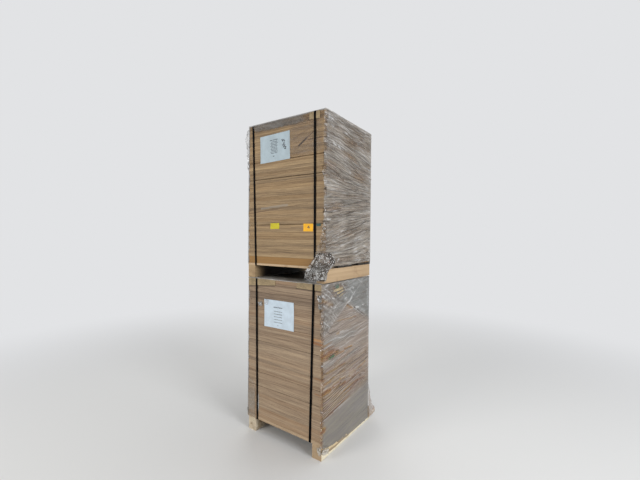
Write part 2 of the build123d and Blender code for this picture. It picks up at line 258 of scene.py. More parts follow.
def mix_colours(tree, share, first, second, blend="MIX"):
    """Blends two colours by a share from 0 to 1."""
    node = add_node(tree, "Mix", data_type="RGBA", blend_type=blend)
    for key, value in ((0, share), (6, first), (7, second)):
        set_input(tree, node.inputs[key], value)
    return node.outputs[2]


def noise_value(tree, vector, scale, detail=2.0, roughness=0.5, stretch=(1, 1, 1), turn=0.0):
    """A noise texture's value, on coordinates that are stretched and turned about z first."""
    mapped = add_node(
        tree,
        "Mapping",
        {"Vector": vector, "Scale": stretch, "Rotation": (0, 0, turn)},
    )
    inputs = {
        "Vector": mapped.outputs[0],
        "Scale": scale,
        "Detail": detail,
        "Roughness": roughness,
    }
    return add_node(tree, "TexNoise", inputs).outputs["Fac"]


def new_group(name, inputs, outputs):
    """A node group with named inputs and outputs. Returns it with its two end nodes."""
    tree = bpy.data.node_groups.new(name, "ShaderNodeTree")
    for label, kind, value in inputs:
        socket = tree.interface.new_socket(label, in_out="INPUT", socket_type=f"NodeSocket{kind}")
        if value is not None:
            socket.default_value = value
    for label, kind in outputs:
        tree.interface.new_socket(label, in_out="OUTPUT", socket_type=f"NodeSocket{kind}")
    return tree, tree.nodes.new("NodeGroupInput"), tree.nodes.new("NodeGroupOutput")


def use_group(tree, group, inputs):
    """Places a node group in a tree, with its inputs set or linked by name."""
    node = tree.nodes.new("ShaderNodeGroup")
    node.node_tree = group
    for key, value in inputs.items():
        set_input(tree, node.inputs[key], value)
    return node


def new_material(name):
    """A material with its Principled shader. Returns the material, its tree and the shader."""
    material = bpy.data.materials.new(name)
    material.use_nodes = True
    tree = material.node_tree
    return material, tree, tree.nodes["Principled BSDF"]


def object_place(tree):
    """The point's place in its object."""
    return add_node(tree, "TexCoord").outputs["Object"]


def split_vector(tree, vector):
    """The x, y and z of a vector."""
    return add_node(tree, "SeparateXYZ", {0: vector}).outputs


def split_attribute(tree, name):
    """The parts of a vector that the mesh stores at each point."""
    return split_vector(tree, add_node(tree, "Attribute", attribute_name=name).outputs["Vector"])


def vector_maths(tree, operation, first, second=None):
    """A vector math node's result. With SCALE, the second value is the scale."""
    inputs = {0: first}
    if second is not None:
        inputs["Scale" if operation == "SCALE" else 1] = second
    node = add_node(tree, "VectorMath", inputs, operation=operation)
    return node.outputs["Value" if operation in ("DOT_PRODUCT", "DISTANCE", "LENGTH") else "Vector"]


def link_bump(tree, shader, height, distance, strength=1.0):
    """Feeds a height in metres times distance through a Bump node to the shader's normal."""
    inputs = {"Height": height, "Distance": distance, "Strength": strength}
    bump = add_node(tree, "Bump", inputs)
    tree.links.new(bump.outputs[0], shader.inputs["Normal"])


# %% [markdown]
# ## Oak
#
# A planed oak edge shows long grain: bands of lighter and darker wood some millimetres
# wide, thin pore lines within them, and a tone that differs from panel to panel. An image
# would blur close up, so the grain is noise, stretched a hundred times along the panel. Each
# panel carries its own numbers (tone, warmth, seed), and the seed shifts the noise so that
# no two panels match. The ends show end grain: short dark flecks and rays.

# %% Oak grain group
grain_group, grain_in, grain_out = new_group(
    "oak grain",
    [
        ("Place", "Vector", None),
        ("Seed", "Float", 0.0),
        ("Tone", "Float", 0.5),
        ("Warmth", "Float", 0.0),
        ("Wander", "Float", 0.004),
        ("Light", "Color", colour(176, 150, 118)),
        ("Dark", "Color", colour(122, 97, 72)),
        ("Orange", "Color", colour(168, 118, 68)),
    ],
    [("Color", "Color"), ("Height", "Float")],
)
g = grain_group
place = grain_in.outputs["Place"]
split = split_vector(g, place)
wander_noise = noise_value(g, place, 1.0, 1.0, stretch=(2.2, 2.2, 9.0))
wander = times(g, minus(g, wander_noise, 0.5), grain_in.outputs["Wander"])
height_now = plus(g, split[2], wander)
seed_shift = times(g, grain_in.outputs["Seed"], 37.0)
shifted = add_node(
    g,
    "CombineXYZ",
    {
        0: plus(g, split[0], seed_shift),
        1: plus(g, split[1], seed_shift),
        2: height_now,
    },
).outputs[0]
broad = noise_value(g, shifted, 1.0, 2.0, 0.5, stretch=(0.9, 6.0, 34.0))
bands = noise_value(g, shifted, 1.0, 3.0, 0.55, stretch=(1.6, 14.0, 95.0))
lines = noise_value(g, shifted, 1.0, 3.0, 0.6, stretch=(4.0, 40.0, 330.0))
pores = noise_value(g, shifted, 1.0, 2.0, 0.5, stretch=(38.0, 200.0, 1500.0))
flecks = noise_value(g, shifted, 1.0, 2.0, 0.55, stretch=(13.0, 60.0, 380.0))
tone = grain_in.outputs["Tone"]
for value, weight in ((broad, 0.6), (bands, 1.1), (lines, 1.5), (flecks, 0.8)):
    swing = minus(g, value, 0.5)
    tone = maths(g, "MULTIPLY_ADD", swing, weight, tone)
tone = minus(g, tone, times(g, remap(g, pores, 0.58, 0.74), 0.22))
tone = minus(g, tone, times(g, remap(g, flecks, 0.6, 0.7), 0.28), clamp=True)
base = mix_colours(g, tone, grain_in.outputs["Dark"], grain_in.outputs["Light"])
base = mix_colours(g, grain_in.outputs["Warmth"], base, grain_in.outputs["Orange"])
g.links.new(base, grain_out.inputs["Color"])
relief = plus(g, times(g, lines, 0.7), times(g, pores, -0.3))
g.links.new(relief, grain_out.inputs["Height"])
print("oak grain:", len(g.nodes), "nodes")

# %% [markdown]
# Single marks, such as a dark slanting streak or a paint mark, are strokes: a mask that is
# one along a line between two points and fades over a named width. The group measures the
# distance from the line in the plane of the front, x across and z up.

# %% Stroke group
stroke_group, stroke_in, stroke_out = new_group(
    "stroke",
    [
        ("Place", "Vector", None),
        ("Start", "Vector", None),
        ("End", "Vector", None),
        ("Width", "Float", 0.004),
        ("Wobble", "Float", 0.004),
    ],
    [("Mask", "Float")],
)
g = stroke_group
flat = (1.0, 0.0, 1.0)
shake = add_node(
    g,
    "TexNoise",
    {"Vector": stroke_in.outputs["Place"], "Scale": 14.0, "Detail": 3.0},
)
shake = vector_maths(g, "SUBTRACT", shake.outputs["Color"], (0.5, 0.5, 0.5))
shake = vector_maths(g, "SCALE", shake, stroke_in.outputs["Wobble"])
moved = vector_maths(g, "ADD", stroke_in.outputs["Place"], shake)


def flat_difference(first, second):
    """The vector between two points, with its depth taken out."""
    return vector_maths(g, "MULTIPLY", vector_maths(g, "SUBTRACT", first, second), flat)


run = flat_difference(stroke_in.outputs["End"], stroke_in.outputs["Start"])
reach = flat_difference(moved, stroke_in.outputs["Start"])
along = vector_maths(g, "DOT_PRODUCT", reach, run)
square = vector_maths(g, "DOT_PRODUCT", run, run)
share = maths(g, "DIVIDE", along, square, clamp=True)
gap = vector_maths(g, "DISTANCE", reach, vector_maths(g, "SCALE", run, share))
ratio = maths(g, "DIVIDE", gap, stroke_in.outputs["Width"])
g.links.new(remap(g, ratio, 1.0, 0.35), stroke_out.inputs["Mask"])
print("stroke:", len(g.nodes), "nodes")

# %% [markdown]
# Each panel could have a material of its own. Instead the mesh carries each panel's numbers
# as attributes, so that one material serves a whole pack.

# %% Oak material
panel_roughness = 0.62
end_dark = colour(96, 72, 50)
end_pale = colour(178, 146, 110)
seam_dark = colour(44, 32, 22)


def oak_material(name, light, dark, orange, wander, strokes):
    """Oak with its grain group. A stroke is (x and z of its start, x and z of its
    end, width, wobble, colour, strength)."""
    material, tree, shader = new_material(name)
    place = add_node(tree, "Attribute", attribute_name="place").outputs["Vector"]
    board = split_attribute(tree, "board")
    grain = use_group(
        tree,
        grain_group,
        {
            "Place": place,
            "Tone": board[0],
            "Warmth": board[1],
            "Seed": board[2],
            "Wander": wander,
            "Light": light,
            "Dark": dark,
            "Orange": orange,
        },
    )
    shade = grain.outputs["Color"]
    for start_x, start_z, end_x, end_z, width, wobble, mark, strength in strokes:
        ends = {"Start": (start_x, 0, start_z), "End": (end_x, 0, end_z)}
        stroke = {"Place": place, "Width": width, "Wobble": wobble, **ends}
        mask = use_group(tree, stroke_group, stroke).outputs["Mask"]
        shade = mix_colours(tree, times(tree, mask, strength), shade, colour(*mark))
    end = split_attribute(tree, "end")
    cell = add_node(tree, "CombineXYZ", {0: end[1], 1: board[2]}).outputs[0]
    draw = add_node(tree, "TexWhiteNoise", {"Vector": cell}, noise_dimensions="3D")
    flecks = noise_value(tree, place, 1.0, 3.0, 0.55, stretch=(60.0, 16.0, 170.0))
    end_tone = maths(tree, "MULTIPLY_ADD", minus(tree, flecks, 0.5), 1.3, draw.outputs["Value"])
    end_shade = mix_colours(tree, end_tone, end_dark, end_pale)
    warm = add_node(tree, "SeparateColor", {0: draw.outputs["Color"]}).outputs[1]
    end_shade = mix_colours(tree, remap(tree, warm, 0.62, 0.9, 0.0, 0.75), end_shade, orange)
    seam = maths(tree, "ABSOLUTE", minus(tree, end[2], 0.5))
    ragged = maths(tree, "MULTIPLY_ADD", minus(tree, flecks, 0.5), 0.35, seam)
    end_shade = mix_colours(tree, remap(tree, ragged, 0.36, 0.48), end_shade, seam_dark)
    shade = mix_colours(tree, end[0], shade, end_shade)
    tree.links.new(shade, shader.inputs["Base Color"])
    shader.inputs["Roughness"].default_value = panel_roughness
    link_bump(tree, shader, grain.outputs["Height"], 0.0004)
    return material


upper_strokes = (
    (-0.725, 1.732, -0.43, 1.757, 0.007, 0.01, (98, 76, 54), 0.75),
    (-0.43, 1.757, -0.152, 1.786, 0.005, 0.008, (104, 82, 58), 0.6),
    (-0.6, 1.764, -0.34, 1.782, 0.012, 0.014, (146, 138, 126), 0.6),
    (-0.235, 2.208, -0.165, 2.252, 0.01, 0.006, (52, 36, 22), 1.0),
    (-0.165, 2.252, -0.1, 2.292, 0.006, 0.006, (92, 66, 42), 0.8),
    (-0.15, 2.236, -0.03, 2.242, 0.007, 0.006, (86, 60, 38), 0.8),
    (-0.285, 2.262, -0.215, 2.292, 0.004, 0.006, (112, 84, 56), 0.7),
    (-0.215, 2.292, -0.12, 2.325, 0.004, 0.006, (112, 84, 56), 0.6),
    (-0.62, 1.636, -0.5, 1.624, 0.006, 0.008, (112, 88, 64), 0.6),
    (-0.3, 1.612, -0.15, 1.6, 0.005, 0.008, (112, 92, 70), 0.6),
)
lower_strokes = (
    # The first two strokes are painted shadow under the edge protectors.
    (-0.72, 1.148, -0.445, 1.169, 0.006, 0.003, (62, 46, 34), 0.75),
    (-0.235, 1.17, -0.004, 1.166, 0.006, 0.003, (62, 46, 34), 0.75),
    (-0.078, 0.828, -0.004, 0.826, 0.012, 0.008, (184, 134, 84), 0.8),
    (-0.07, 0.806, -0.004, 0.8, 0.013, 0.01, (146, 96, 54), 0.8),
    (-0.06, 0.56, -0.004, 0.556, 0.009, 0.01, (150, 106, 66), 0.6),
    (-0.055, 0.452, -0.004, 0.45, 0.008, 0.01, (150, 106, 66), 0.6),
    (-0.7, 1.045, -0.695, 1.045, 0.007, 0.006, (84, 58, 44), 0.8),
    (-0.69, 1.006, -0.685, 1.006, 0.007, 0.006, (84, 58, 44), 0.8),
)
upper_notches = (2.133, 2.03, 1.984, 1.721, 1.655, 1.607, 1.517, 1.424)
# The hooks darken the chips at the front right corner: painted shade in the chips.
hooks = tuple(
    (-0.02, height - 0.002, -0.002, height, 0.007, 0.008, (58, 40, 26), 0.9)
    for height in upper_notches
)
upper_oak = oak_material(
    "upper oak",
    colour(180, 152, 112),
    colour(80, 60, 38),
    colour(144, 104, 46),
    0.018,
    upper_strokes + hooks,
)
lower_oak = oak_material(
    "lower oak",
    colour(180, 157, 129),
    colour(108, 89, 71),
    colour(172, 126, 78),
    0.026,
    lower_strokes,
)
print("marks:", len(upper_strokes + hooks + lower_strokes))

# %% [markdown]
# ## The panels
#
# The CAD panels are plain boards, each with its own slip at the ends. Here each board is
# rebuilt as a ring of points round its outline, repeated at four heights, so that its long
# edges are eased by less than a millimetre. The ends get the small steps between the staves
# that the panel is glued up from. All forty boards are one array: board, height, point.

# %% Panels
courses = 40
course_seat = 0.0003
edge_ease = 0.0005
stave_wide = 0.042
stave_step = 0.0016
recesses = {"upper": (0.005, 0.012), "lower": (0.0025, 0.005)}
notch_reach, notch_side, notch_front = 0.02, 0.014, 0.01
stave_shift = 0.37
front_sway = 0.0004
lower_notches = (1.05, 0.965, 0.86)
front_steps, side_steps = 48, 34


def course_limits(pack):
    """Lowest and highest corner of each board of a pack, in the pack's own axes."""
    points = pack.local(node_points(f"{pack.name}_panels"))
    pitch = (pack.top - pack.load + course_seat) / courses
    number = np.floor((points[:, 2] - pack.load + course_seat / 3) / pitch).astype(int)
    low = np.full((courses, 3), np.inf)
    high = np.full((courses, 3), -np.inf)
    np.minimum.at(low, number, points)
    np.maximum.at(high, number, points)
    return low, high


def outline_shares():
    """Shares of width and depth round a board's outline, and the outward direction."""
    a = np.linspace(0, 1, front_steps, endpoint=False)
    b = np.linspace(0, 1, side_steps, endpoint=False)
    zero_a, zero_b = np.zeros_like(a), np.zeros_like(b)
    across = np.concatenate([a, zero_b + 1, 1 - a, zero_b])
    depth = np.concatenate([zero_a, b, zero_a + 1, 1 - b])
    out_x = np.where(across == 0, -1.0, np.where(across == 1, 1.0, 0.0))
    out_y = np.where(depth == 0, -1.0, np.where(depth == 1, 1.0, 0.0))
    return across, depth, out_x, out_y


def build_panels(pack, material, recessed, notches, tones):
    """All boards of a pack. recessed are the courses with a gap under their front edge, and
    notches the heights of chips at the front right corner."""
    low, high = course_limits(pack)
    across, depth, out_x, out_y = outline_shares()
    size = high - low
    x = low[:, :1] + size[:, :1] * across
    y = low[:, 1:2] + size[:, 1:2] * depth
    number = np.arange(courses)[:, None]
    staves = noise(np.floor(y / stave_wide + number * stave_shift), number * 3.0, 21)
    x = x - out_x * (out_y == 0) * stave_step * (staves + 1) / 2
    y = y + (out_y < 0) * front_sway * (noise(x / 0.09, number * 5.0, 22) + 1)
    notched = np.zeros((courses, 1), bool)
    for height in notches:
        notched[int((height - pack.load) / (pack.top - pack.load) * courses)] = True
    chip = notched * np.clip(1 - np.hypot(x - high[:, :1], y - low[:, 1:2]) / notch_reach, 0, 1)
    x = x - chip * notch_side * (out_x > 0)
    y = y + chip * notch_front * (out_y < 0)
    thick = size[:, 2:3]
    is_recessed = np.isin(number, recessed)
    front = out_y < 0
    recess_tall, recess_deep = recesses[pack.name]
    lift = np.where(is_recessed & front, recess_tall, edge_ease)
    draw_in = np.where(is_recessed & front, recess_deep, edge_ease)
    insets = np.stack([draw_in, np.zeros_like(x), np.zeros_like(x), np.full_like(x, edge_ease)], axis=1)
    rises = np.stack([np.zeros_like(x), lift, thick - edge_ease + 0 * x, thick + 0 * x], axis=1)
    points = np.stack(
        [
            x[:, None] - out_x * insets,
            y[:, None] - out_y * insets,
            low[:, 2][:, None, None] + rises,
        ],
        axis=-1,
    )
    ring = len(across)
    faces = []
    ring_face = np.stack([np.arange(ring), (np.arange(ring) + 1) % ring], axis=1)
    for board in range(courses):
        start = board * 4 * ring
        for level in range(3):
            base = start + level * ring
            quad = np.concatenate([base + ring_face, base + ring + ring_face[:, ::-1]], axis=1)
            faces.extend(quad.tolist())
        faces.append((start + np.arange(ring)[::-1]).tolist())
        faces.append((start + 3 * ring + np.arange(ring)).tolist())
    piece = add_piece(
        f"{pack.name}_oak_panels",
        pack.world(points),
        faces,
        material,
        replaces=[f"{pack.name}_panels"],
        smooth_shading=False,
    )
    add_attribute(piece, "place", "FLOAT_VECTOR", points)
    board = np.broadcast_to(tones[:, None, None, :], points.shape)
    add_attribute(piece, "board", "FLOAT_VECTOR", board)
    is_end = np.broadcast_to((out_x * (out_y == 0) != 0)[None, None, :] * 1.0, points.shape[:3])
    stave = np.floor(points[..., 1] / stave_wide + number[:, None] * stave_shift)
    share = (points[..., 2] - low[:, 2][:, None, None]) / thick[:, None]
    add_attribute(piece, "end", "FLOAT_VECTOR", np.stack([is_end, stave, share], axis=-1))
    return piece


def board_tones(seed, spread, warm_courses, dim_courses):
    """Tone, warmth and grain seed of each board. dim_courses are (first, last, change)."""
    draw = np.random.default_rng(seed)
    tone = 0.53 + spread * draw.uniform(-1, 1, courses)
    warmth = 0.22 * draw.random(courses) ** 2
    warmth[list(warm_courses)] = 0.85
    for first, last, change in dim_courses:
        tone[first : last + 1] += change
    return np.stack([tone, warmth, draw.random(courses)], axis=1)


upper_dims = (0, 1, -0.08), (15, 25, -0.07), (38, 39, -0.22)
# Courses 34 to 39 of the lower pack are darker on the whole: painted shadow under the upper pack.
lower_dims = (26, 33, -0.12), (34, 39, -0.28), (35, 35, -0.15), (37, 37, 0.22), (30, 30, 0.12)
upper_tones = board_tones(4, 0.14, (0, 1), upper_dims)
lower_tones = board_tones(8, 0.09, (), lower_dims)
upper_panels = build_panels(upper, upper_oak, (11, 24, 29), upper_notches, upper_tones)
lower_panels = build_panels(lower, lower_oak, (9, 13, 22, 36), lower_notches, lower_tones)
print("panels:", sum(len(p.data.polygons) for p in (upper_panels, lower_panels)), "faces")

# %% [markdown]
# ## Softwood bearers and deck boards
#
# The bearers and deck boards are the CAD nodes themselves: their shape is right, so they
# only get a material. Sawn softwood is pale and yellow, with saw marks across the grain. The
# ends of a bearer show growth rings. One material serves both: the surface's own direction
# says whether a face is an end.


# %% Softwood
# Painted light and shade on the lower right bearer: its side is darkened as painted shade, and a strip
# along its foot is painted pale as painted light, tall in front and low behind.
lit_foot_wood = colour(234, 224, 198)
shaded_side_wood = colour(118, 108, 84)
lit_foot_low, lit_foot_high, lit_foot_reach = 0.02, 0.05, 0.12
heart = (0.02, 0, 0.06)
# Painted shade: the near-black colour that wood deep in the fork pockets takes, how much of it, and the
# depth over which it comes in.
pocket_shade, pocket_shade_share, pocket_shade_fade = colour(12, 9, 7), 0.97, 0.14


def softwood_material(name, pale, dark, turn, along_y, lit_foot_front=None, worn=0.0, shaded_depths=None, inside=0):
    """Sawn softwood. The grain runs along y on a bearer and along x on a deck board. Where
    the depth of a bearer's front is given, its side is darkened as painted shade, and a strip
    along the foot of its side is painted pale as painted light, tall there and low behind.
    worn says how blotchy the wood is. Where two depths are given for a fork pocket, the wood
    between them is painted near black: painted shade for the dark pocket. inside says which
    way the shaded face looks, along x: 1, -1, or 0 for every face."""
    material, tree, shader = new_material(name)
    where = add_node(tree, "TexCoord")
    mapped = add_node(
        tree,
        "Mapping",
        {"Vector": where.outputs["Object"], "Rotation": (0, 0, -turn)},
    ).outputs[0]
    long_way = (14.0, 1.2, 60.0) if along_y else (1.2, 14.0, 60.0)
    bands = noise_value(tree, mapped, 1.0, 3.0, 0.55, stretch=long_way)
    fine_way = (90.0, 5.0, 420.0) if along_y else (5.0, 90.0, 420.0)
    fine = noise_value(tree, mapped, 1.0, 3.0, 0.6, stretch=fine_way)
    dirt = noise_value(tree, mapped, 9.0, 5.0, 0.6)
    tone = plus(tree, times(tree, bands, 0.6), times(tree, fine, 0.4))
    tone = remap(tree, tone, 0.22, 0.66, kind="LINEAR")
    shade = mix_colours(tree, tone, dark, pale)
    normal = split_vector(tree, where.outputs["Normal"])
    facing = maths(tree, "ABSOLUTE", normal[1 if along_y else 0])
    end_mask = remap(tree, facing, 0.7, 0.9)
    centre = add_node(
        tree,
        "Mapping",
        {"Vector": mapped, "Location": heart, "Scale": (1, 0.05, 1)},
    )
    rings = add_node(
        tree,
        "TexWave",
        {"Vector": centre.outputs[0], "Scale": 46.0, "Distortion": 2.5, "Detail": 3.0, "Detail Scale": 1.5},
        wave_type="RINGS",
        rings_direction="Y",
    ).outputs["Fac"]
    end_shade = mix_colours(tree, rings, dark, pale)
    shade = mix_colours(tree, times(tree, end_mask, 0.5), shade, end_shade)
    # Painted shade on the side faces, and painted light on a strip along their foot.
    if lit_foot_front is not None:
        spot = split_vector(tree, where.outputs["Object"])
        level = maths(tree, "MULTIPLY_ADD", minus(tree, dirt, 0.5), 0.012, spot[2])
        lit_foot_top = remap(tree, spot[1], lit_foot_front, lit_foot_front + lit_foot_reach, lit_foot_high, lit_foot_low)
        below = remap(tree, minus(tree, lit_foot_top, level), 0.0, 0.003)
        side_mask = minus(tree, 1.0, end_mask)
        shade = mix_colours(tree, times(tree, side_mask, 0.4), shade, shaded_side_wood)
        lit_foot = times(tree, below, side_mask)
        shade = mix_colours(tree, lit_foot, shade, lit_foot_wood)
    shade = mix_colours(tree, remap(tree, dirt, 0.52, 0.75, 0.0, 0.4 + worn), shade, dark, "MULTIPLY")
    if worn:
        spots = noise_value(tree, where.outputs["Object"], 75.0, 3.0, 0.6)
        shade = mix_colours(tree, remap(tree, spots, 0.6, 0.7, 0.0, worn), shade, colour(66, 50, 40))
    # Painted shade: the wood between the two depths turns near black, for the dark fork pocket.
    if shaded_depths:
        depth = split_vector(tree, mapped)[1]
        behind = remap(tree, depth, shaded_depths[0] + 0.01, shaded_depths[0] + pocket_shade_fade, 0.0, pocket_shade_share)
        before = remap(tree, depth, shaded_depths[1] - 0.01, shaded_depths[1] - pocket_shade_fade, 0.0, pocket_shade_share)
        share = maths(tree, "MINIMUM", behind, before)
        if inside:
            facing_in = remap(tree, times(tree, normal[0], inside), 0.5, 0.8)
            share = times(tree, share, facing_in)
        shade = mix_colours(tree, share, shade, pocket_shade)
    tree.links.new(shade, shader.inputs["Base Color"])
    shader.inputs["Roughness"].default_value = 0.75
    link_bump(tree, shader, plus(tree, fine, times(tree, rings, 0.3)), 0.0008)
    return material


def dress(node, material):
    """Gives a CAD node its material."""
    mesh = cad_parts[node].data
    mesh.materials.clear()
    mesh.materials.append(material)


upper_angle = math.atan2(upper.ex[1], upper.ex[0])
lower_front, upper_front = lower.corner @ lower.ey, upper.corner @ upper.ey
upper_pocket = (upper_front, upper_front + upper.deep)
bearer_front = node_points("lower_right_bearer")[:, 1].min()
# The deck boards and the upper bearers take a near-black painted shade in the fork pockets, and the lower
# right bearer painted light and shade on its side.
for node, name, pale, dark, turn, along_y, more in (
    ("lower_right_bearer", "bearer", (196, 170, 136), (150, 124, 92),
     0.0, True, {"lit_foot_front": bearer_front}),
    ("lower_left_bearer", "worn bearer", (220, 208, 184), (170, 150, 122),
     0.0, True, {"worn": 0.7}),
    ("upper_left_bearer", "upper left bearer", (190, 164, 126), (144, 118, 85),
     upper_angle, True, {"shaded_depths": upper_pocket, "inside": 1}),
    ("upper_right_bearer", "upper right bearer", (196, 169, 134), (152, 124, 91),
     upper_angle, True, {"shaded_depths": upper_pocket, "inside": -1}),
    ("lower_deck_boards", "deck", (186, 162, 132), (140, 114, 86),
     0.0, False, {"shaded_depths": (lower_front, lower_front + 2)}),
    ("upper_deck_boards", "upper deck", (214, 190, 156), (160, 130, 96),
     upper_angle, False, {"shaded_depths": (upper_front, upper_front + 2)}),
):
    wood = softwood_material(f"{name} softwood", colour(*pale), colour(*dark), turn, along_y, **more)
    dress(node, wood)
    print(node, "gets", wood.name)

# %% [markdown]
# ## Straps and edge protectors
#
# The straps are black plastic with a fine waffle pressed into them, which gives them a
# satin gloss. The protectors are pressed board: a plain brown paper surface with fibres.

# %% Strap and pressed board
strap_material, tree, shader = new_material("black strap")
where = object_place(tree)
waffle = add_node(tree, "TexVoronoi", {"Vector": where, "Scale": 420.0}).outputs["Distance"]
wear = noise_value(tree, where, 25.0, 4.0, 0.6)
shade = mix_colours(tree, remap(tree, wear, 0.55, 0.8), colour(2, 2, 3), colour(8, 8, 8))
tree.links.new(shade, shader.inputs["Base Color"])
tree.links.new(remap(tree, wear, 0.3, 0.7, 0.45, 0.62), shader.inputs["Roughness"])
shader.inputs["Specular IOR Level"].default_value = 0.04
link_bump(tree, shader, waffle, 0.0003)

board_material, tree, shader = new_material("pressed board")
where = object_place(tree)
fibres = noise_value(tree, where, 1.0, 4.0, 0.65, stretch=(60.0, 60.0, 340.0))
cloud = noise_value(tree, where, 14.0, 4.0, 0.6)
tone = plus(tree, times(tree, fibres, 0.7), times(tree, cloud, 0.5))
shade = mix_colours(tree, remap(tree, tone, 0.4, 0.85), colour(122, 106, 78), colour(176, 154, 117))
tree.links.new(shade, shader.inputs["Base Color"])
shader.inputs["Roughness"].default_value = 0.7
link_bump(tree, shader, fibres, 0.0004)

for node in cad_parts:
    if node.endswith("_strap"):
        dress(node, strap_material)
    if node.endswith("_protector"):
        dress(node, board_material)
        print(node, "is pressed board")

# %% [markdown]
# ## Stretch film
#
# Stretch film is almost clear, but its folds, layers and tension lines catch the light, so
# a wrapped load looks grey and hazy. Two things make that look: real folds in the mesh, and
# a haze that says how many layers lie there. The film's map follows its tension lines, so
# fine streaks in the material run the same way as the folds. Pale streaks and folds are
# painted highlights, and deep ones painted shade.

# %% Film material
film_grey = colour(163, 154, 141)
film_shaded = colour(101, 96, 90)
film_cool = colour(130, 139, 140)
film_brown = colour(144, 86, 34)
film_tan = colour(184, 146, 84)
# Painted highlight on folds and glints, and painted shade in creases.
painted_highlight = colour(226, 226, 225)
painted_crease_shade = colour(70, 58, 46)


def thin_lines(tree, lines, stretch, width, detail=2.0):
    """Thin lines where a noise passes its middle value: 1 on the line, 0 beside it."""
    value = noise_value(tree, lines, 1.0, detail, 0.5, stretch=stretch)
    distance = maths(tree, "ABSOLUTE", minus(tree, value, 0.5))
    return remap(tree, distance, width, 0.0)


lines_group, lines_in, lines_out = new_group(
    "film lines",
    [("Map", "Vector", None), ("Reach", "Float", 4.0), ("Fine", "Float", 1.0)],
    [("Pale", "Float"), ("Deep", "Float"), ("Cloud", "Float"), ("Height", "Float")],
)
g = lines_group
scale = {0: lines_in.outputs["Reach"], 1: lines_in.outputs["Fine"], 2: 1.0}
scale = add_node(g, "CombineXYZ", scale).outputs[0]
flow = vector_maths(g, "MULTIPLY", lines_in.outputs["Map"], scale)
pale = thin_lines(g, flow, (1.0, 60.0, 1.0), 0.035)
pale_fine = thin_lines(g, flow, (2.0, 150.0, 1.0), 0.03)
deep = thin_lines(g, vector_maths(g, "ADD", flow, (3.7, 5.1, 0)), (0.9, 48.0, 1.0), 0.028)
deep_fine = thin_lines(g, vector_maths(g, "ADD", flow, (8.2, 1.4, 0)), (1.8, 120.0, 1.0), 0.03)
cloud = noise_value(g, flow, 1.0, 3.0, 0.55, stretch=(1.5, 20.0, 1.0))
gate = remap(g, noise_value(g, flow, 1.0, 2.0, 0.5, stretch=(1.7, 9.0, 1.0)), 0.42, 0.6)
pale_all = maths(g, "MAXIMUM", pale, times(g, pale_fine, 0.7))
g.links.new(times(g, pale_all, gate), lines_out.inputs["Pale"])
g.links.new(maths(g, "MAXIMUM", deep, times(g, deep_fine, 0.7)), lines_out.inputs["Deep"])
g.links.new(cloud, lines_out.inputs["Cloud"])
height = plus(g, cloud, times(g, pale, 0.5))
g.links.new(minus(g, height, times(g, deep, 0.4)), lines_out.inputs["Height"])


def film_material(name, grey, reach, contrast, sparkle, roughness, shaded=film_shaded):
    """Film with pale and deep lines along its map. The film attribute holds the haze, the
    pale folds and the deep creases of the mesh. Pale lines and folds are painted highlights,
    and deep lines and creases painted shade. The state attribute says where the film is torn,
    which shows as painted glints, where it lies so tight that its fine lines fade, and where
    it takes its shaded colour. The warm attribute says where the wood under it tints it."""
    material, tree, shader = new_material(name)
    lines = add_node(tree, "UVMap", uv_map="tension").outputs[0]
    film, state = split_attribute(tree, "film"), split_attribute(tree, "state")
    busy = minus(tree, 1.0, state[1])
    where = object_place(tree)
    streaks = use_group(tree, lines_group, {"Map": lines, "Reach": reach})
    fold = times(tree, film[1], contrast)
    crease = times(tree, film[2], contrast)
    pale_share = times(tree, busy, 0.6 * contrast)
    deep_share = times(tree, busy, 0.75 * contrast)
    pale_line = times(tree, streaks.outputs["Pale"], pale_share)
    deep_line = times(tree, streaks.outputs["Deep"], deep_share)
    pale = maths(tree, "MAXIMUM", fold, pale_line)
    deep = maths(tree, "MAXIMUM", crease, deep_line)
    specks = noise_value(tree, where, 95.0, 2.0, 0.5)
    glitter = times(tree, state[0], sparkle)
    # Painted glints: white specks where the film is torn.
    painted_glints = times(tree, remap(tree, specks, 0.61, 0.66), glitter, clamp=True)
    warm = add_node(tree, "Attribute", attribute_name="warm").outputs["Fac"]
    tint = remap(tree, noise_value(tree, lines, 1.0, 2.0, 0.5, stretch=(3.0, 42.0, 1.0)), 0.38, 0.62)
    tint = mix_colours(tree, tint, film_brown, film_tan)
    shade = mix_colours(tree, state[2], grey, shaded)
    shade = mix_colours(tree, warm, shade, tint)
    shade = mix_colours(tree, pale, shade, painted_highlight)
    shade = mix_colours(tree, deep, shade, painted_crease_shade)
    shade = mix_colours(tree, painted_glints, shade, colour(250, 250, 250))
    tree.links.new(shade, shader.inputs["Base Color"])
    cloud = remap(tree, streaks.outputs["Cloud"], 0.35, 0.65, -0.2, 0.2)
    cloud = maths(tree, "MULTIPLY_ADD", cloud, remap(tree, busy, 0.0, 1.0, 0.25, 1.0), 1.0)
    opacity = times(tree, film[0], cloud)
    opacity = plus(tree, opacity, times(tree, maths(tree, "MAXIMUM", pale, deep), 0.3))
    opacity = times(tree, opacity, remap(tree, film[0], 0.0, 0.06))
    opacity = maths(tree, "MAXIMUM", opacity, painted_glints, clamp=True)
    tree.links.new(opacity, shader.inputs["Alpha"])
    shader.inputs["Roughness"].default_value = roughness
    shader.inputs["IOR"].default_value = 1.5
    relief = times(tree, streaks.outputs["Height"], remap(tree, busy, 0.0, 1.0, 0.25, 1.0))
    link_bump(tree, shader, relief, 0.006)
    return material


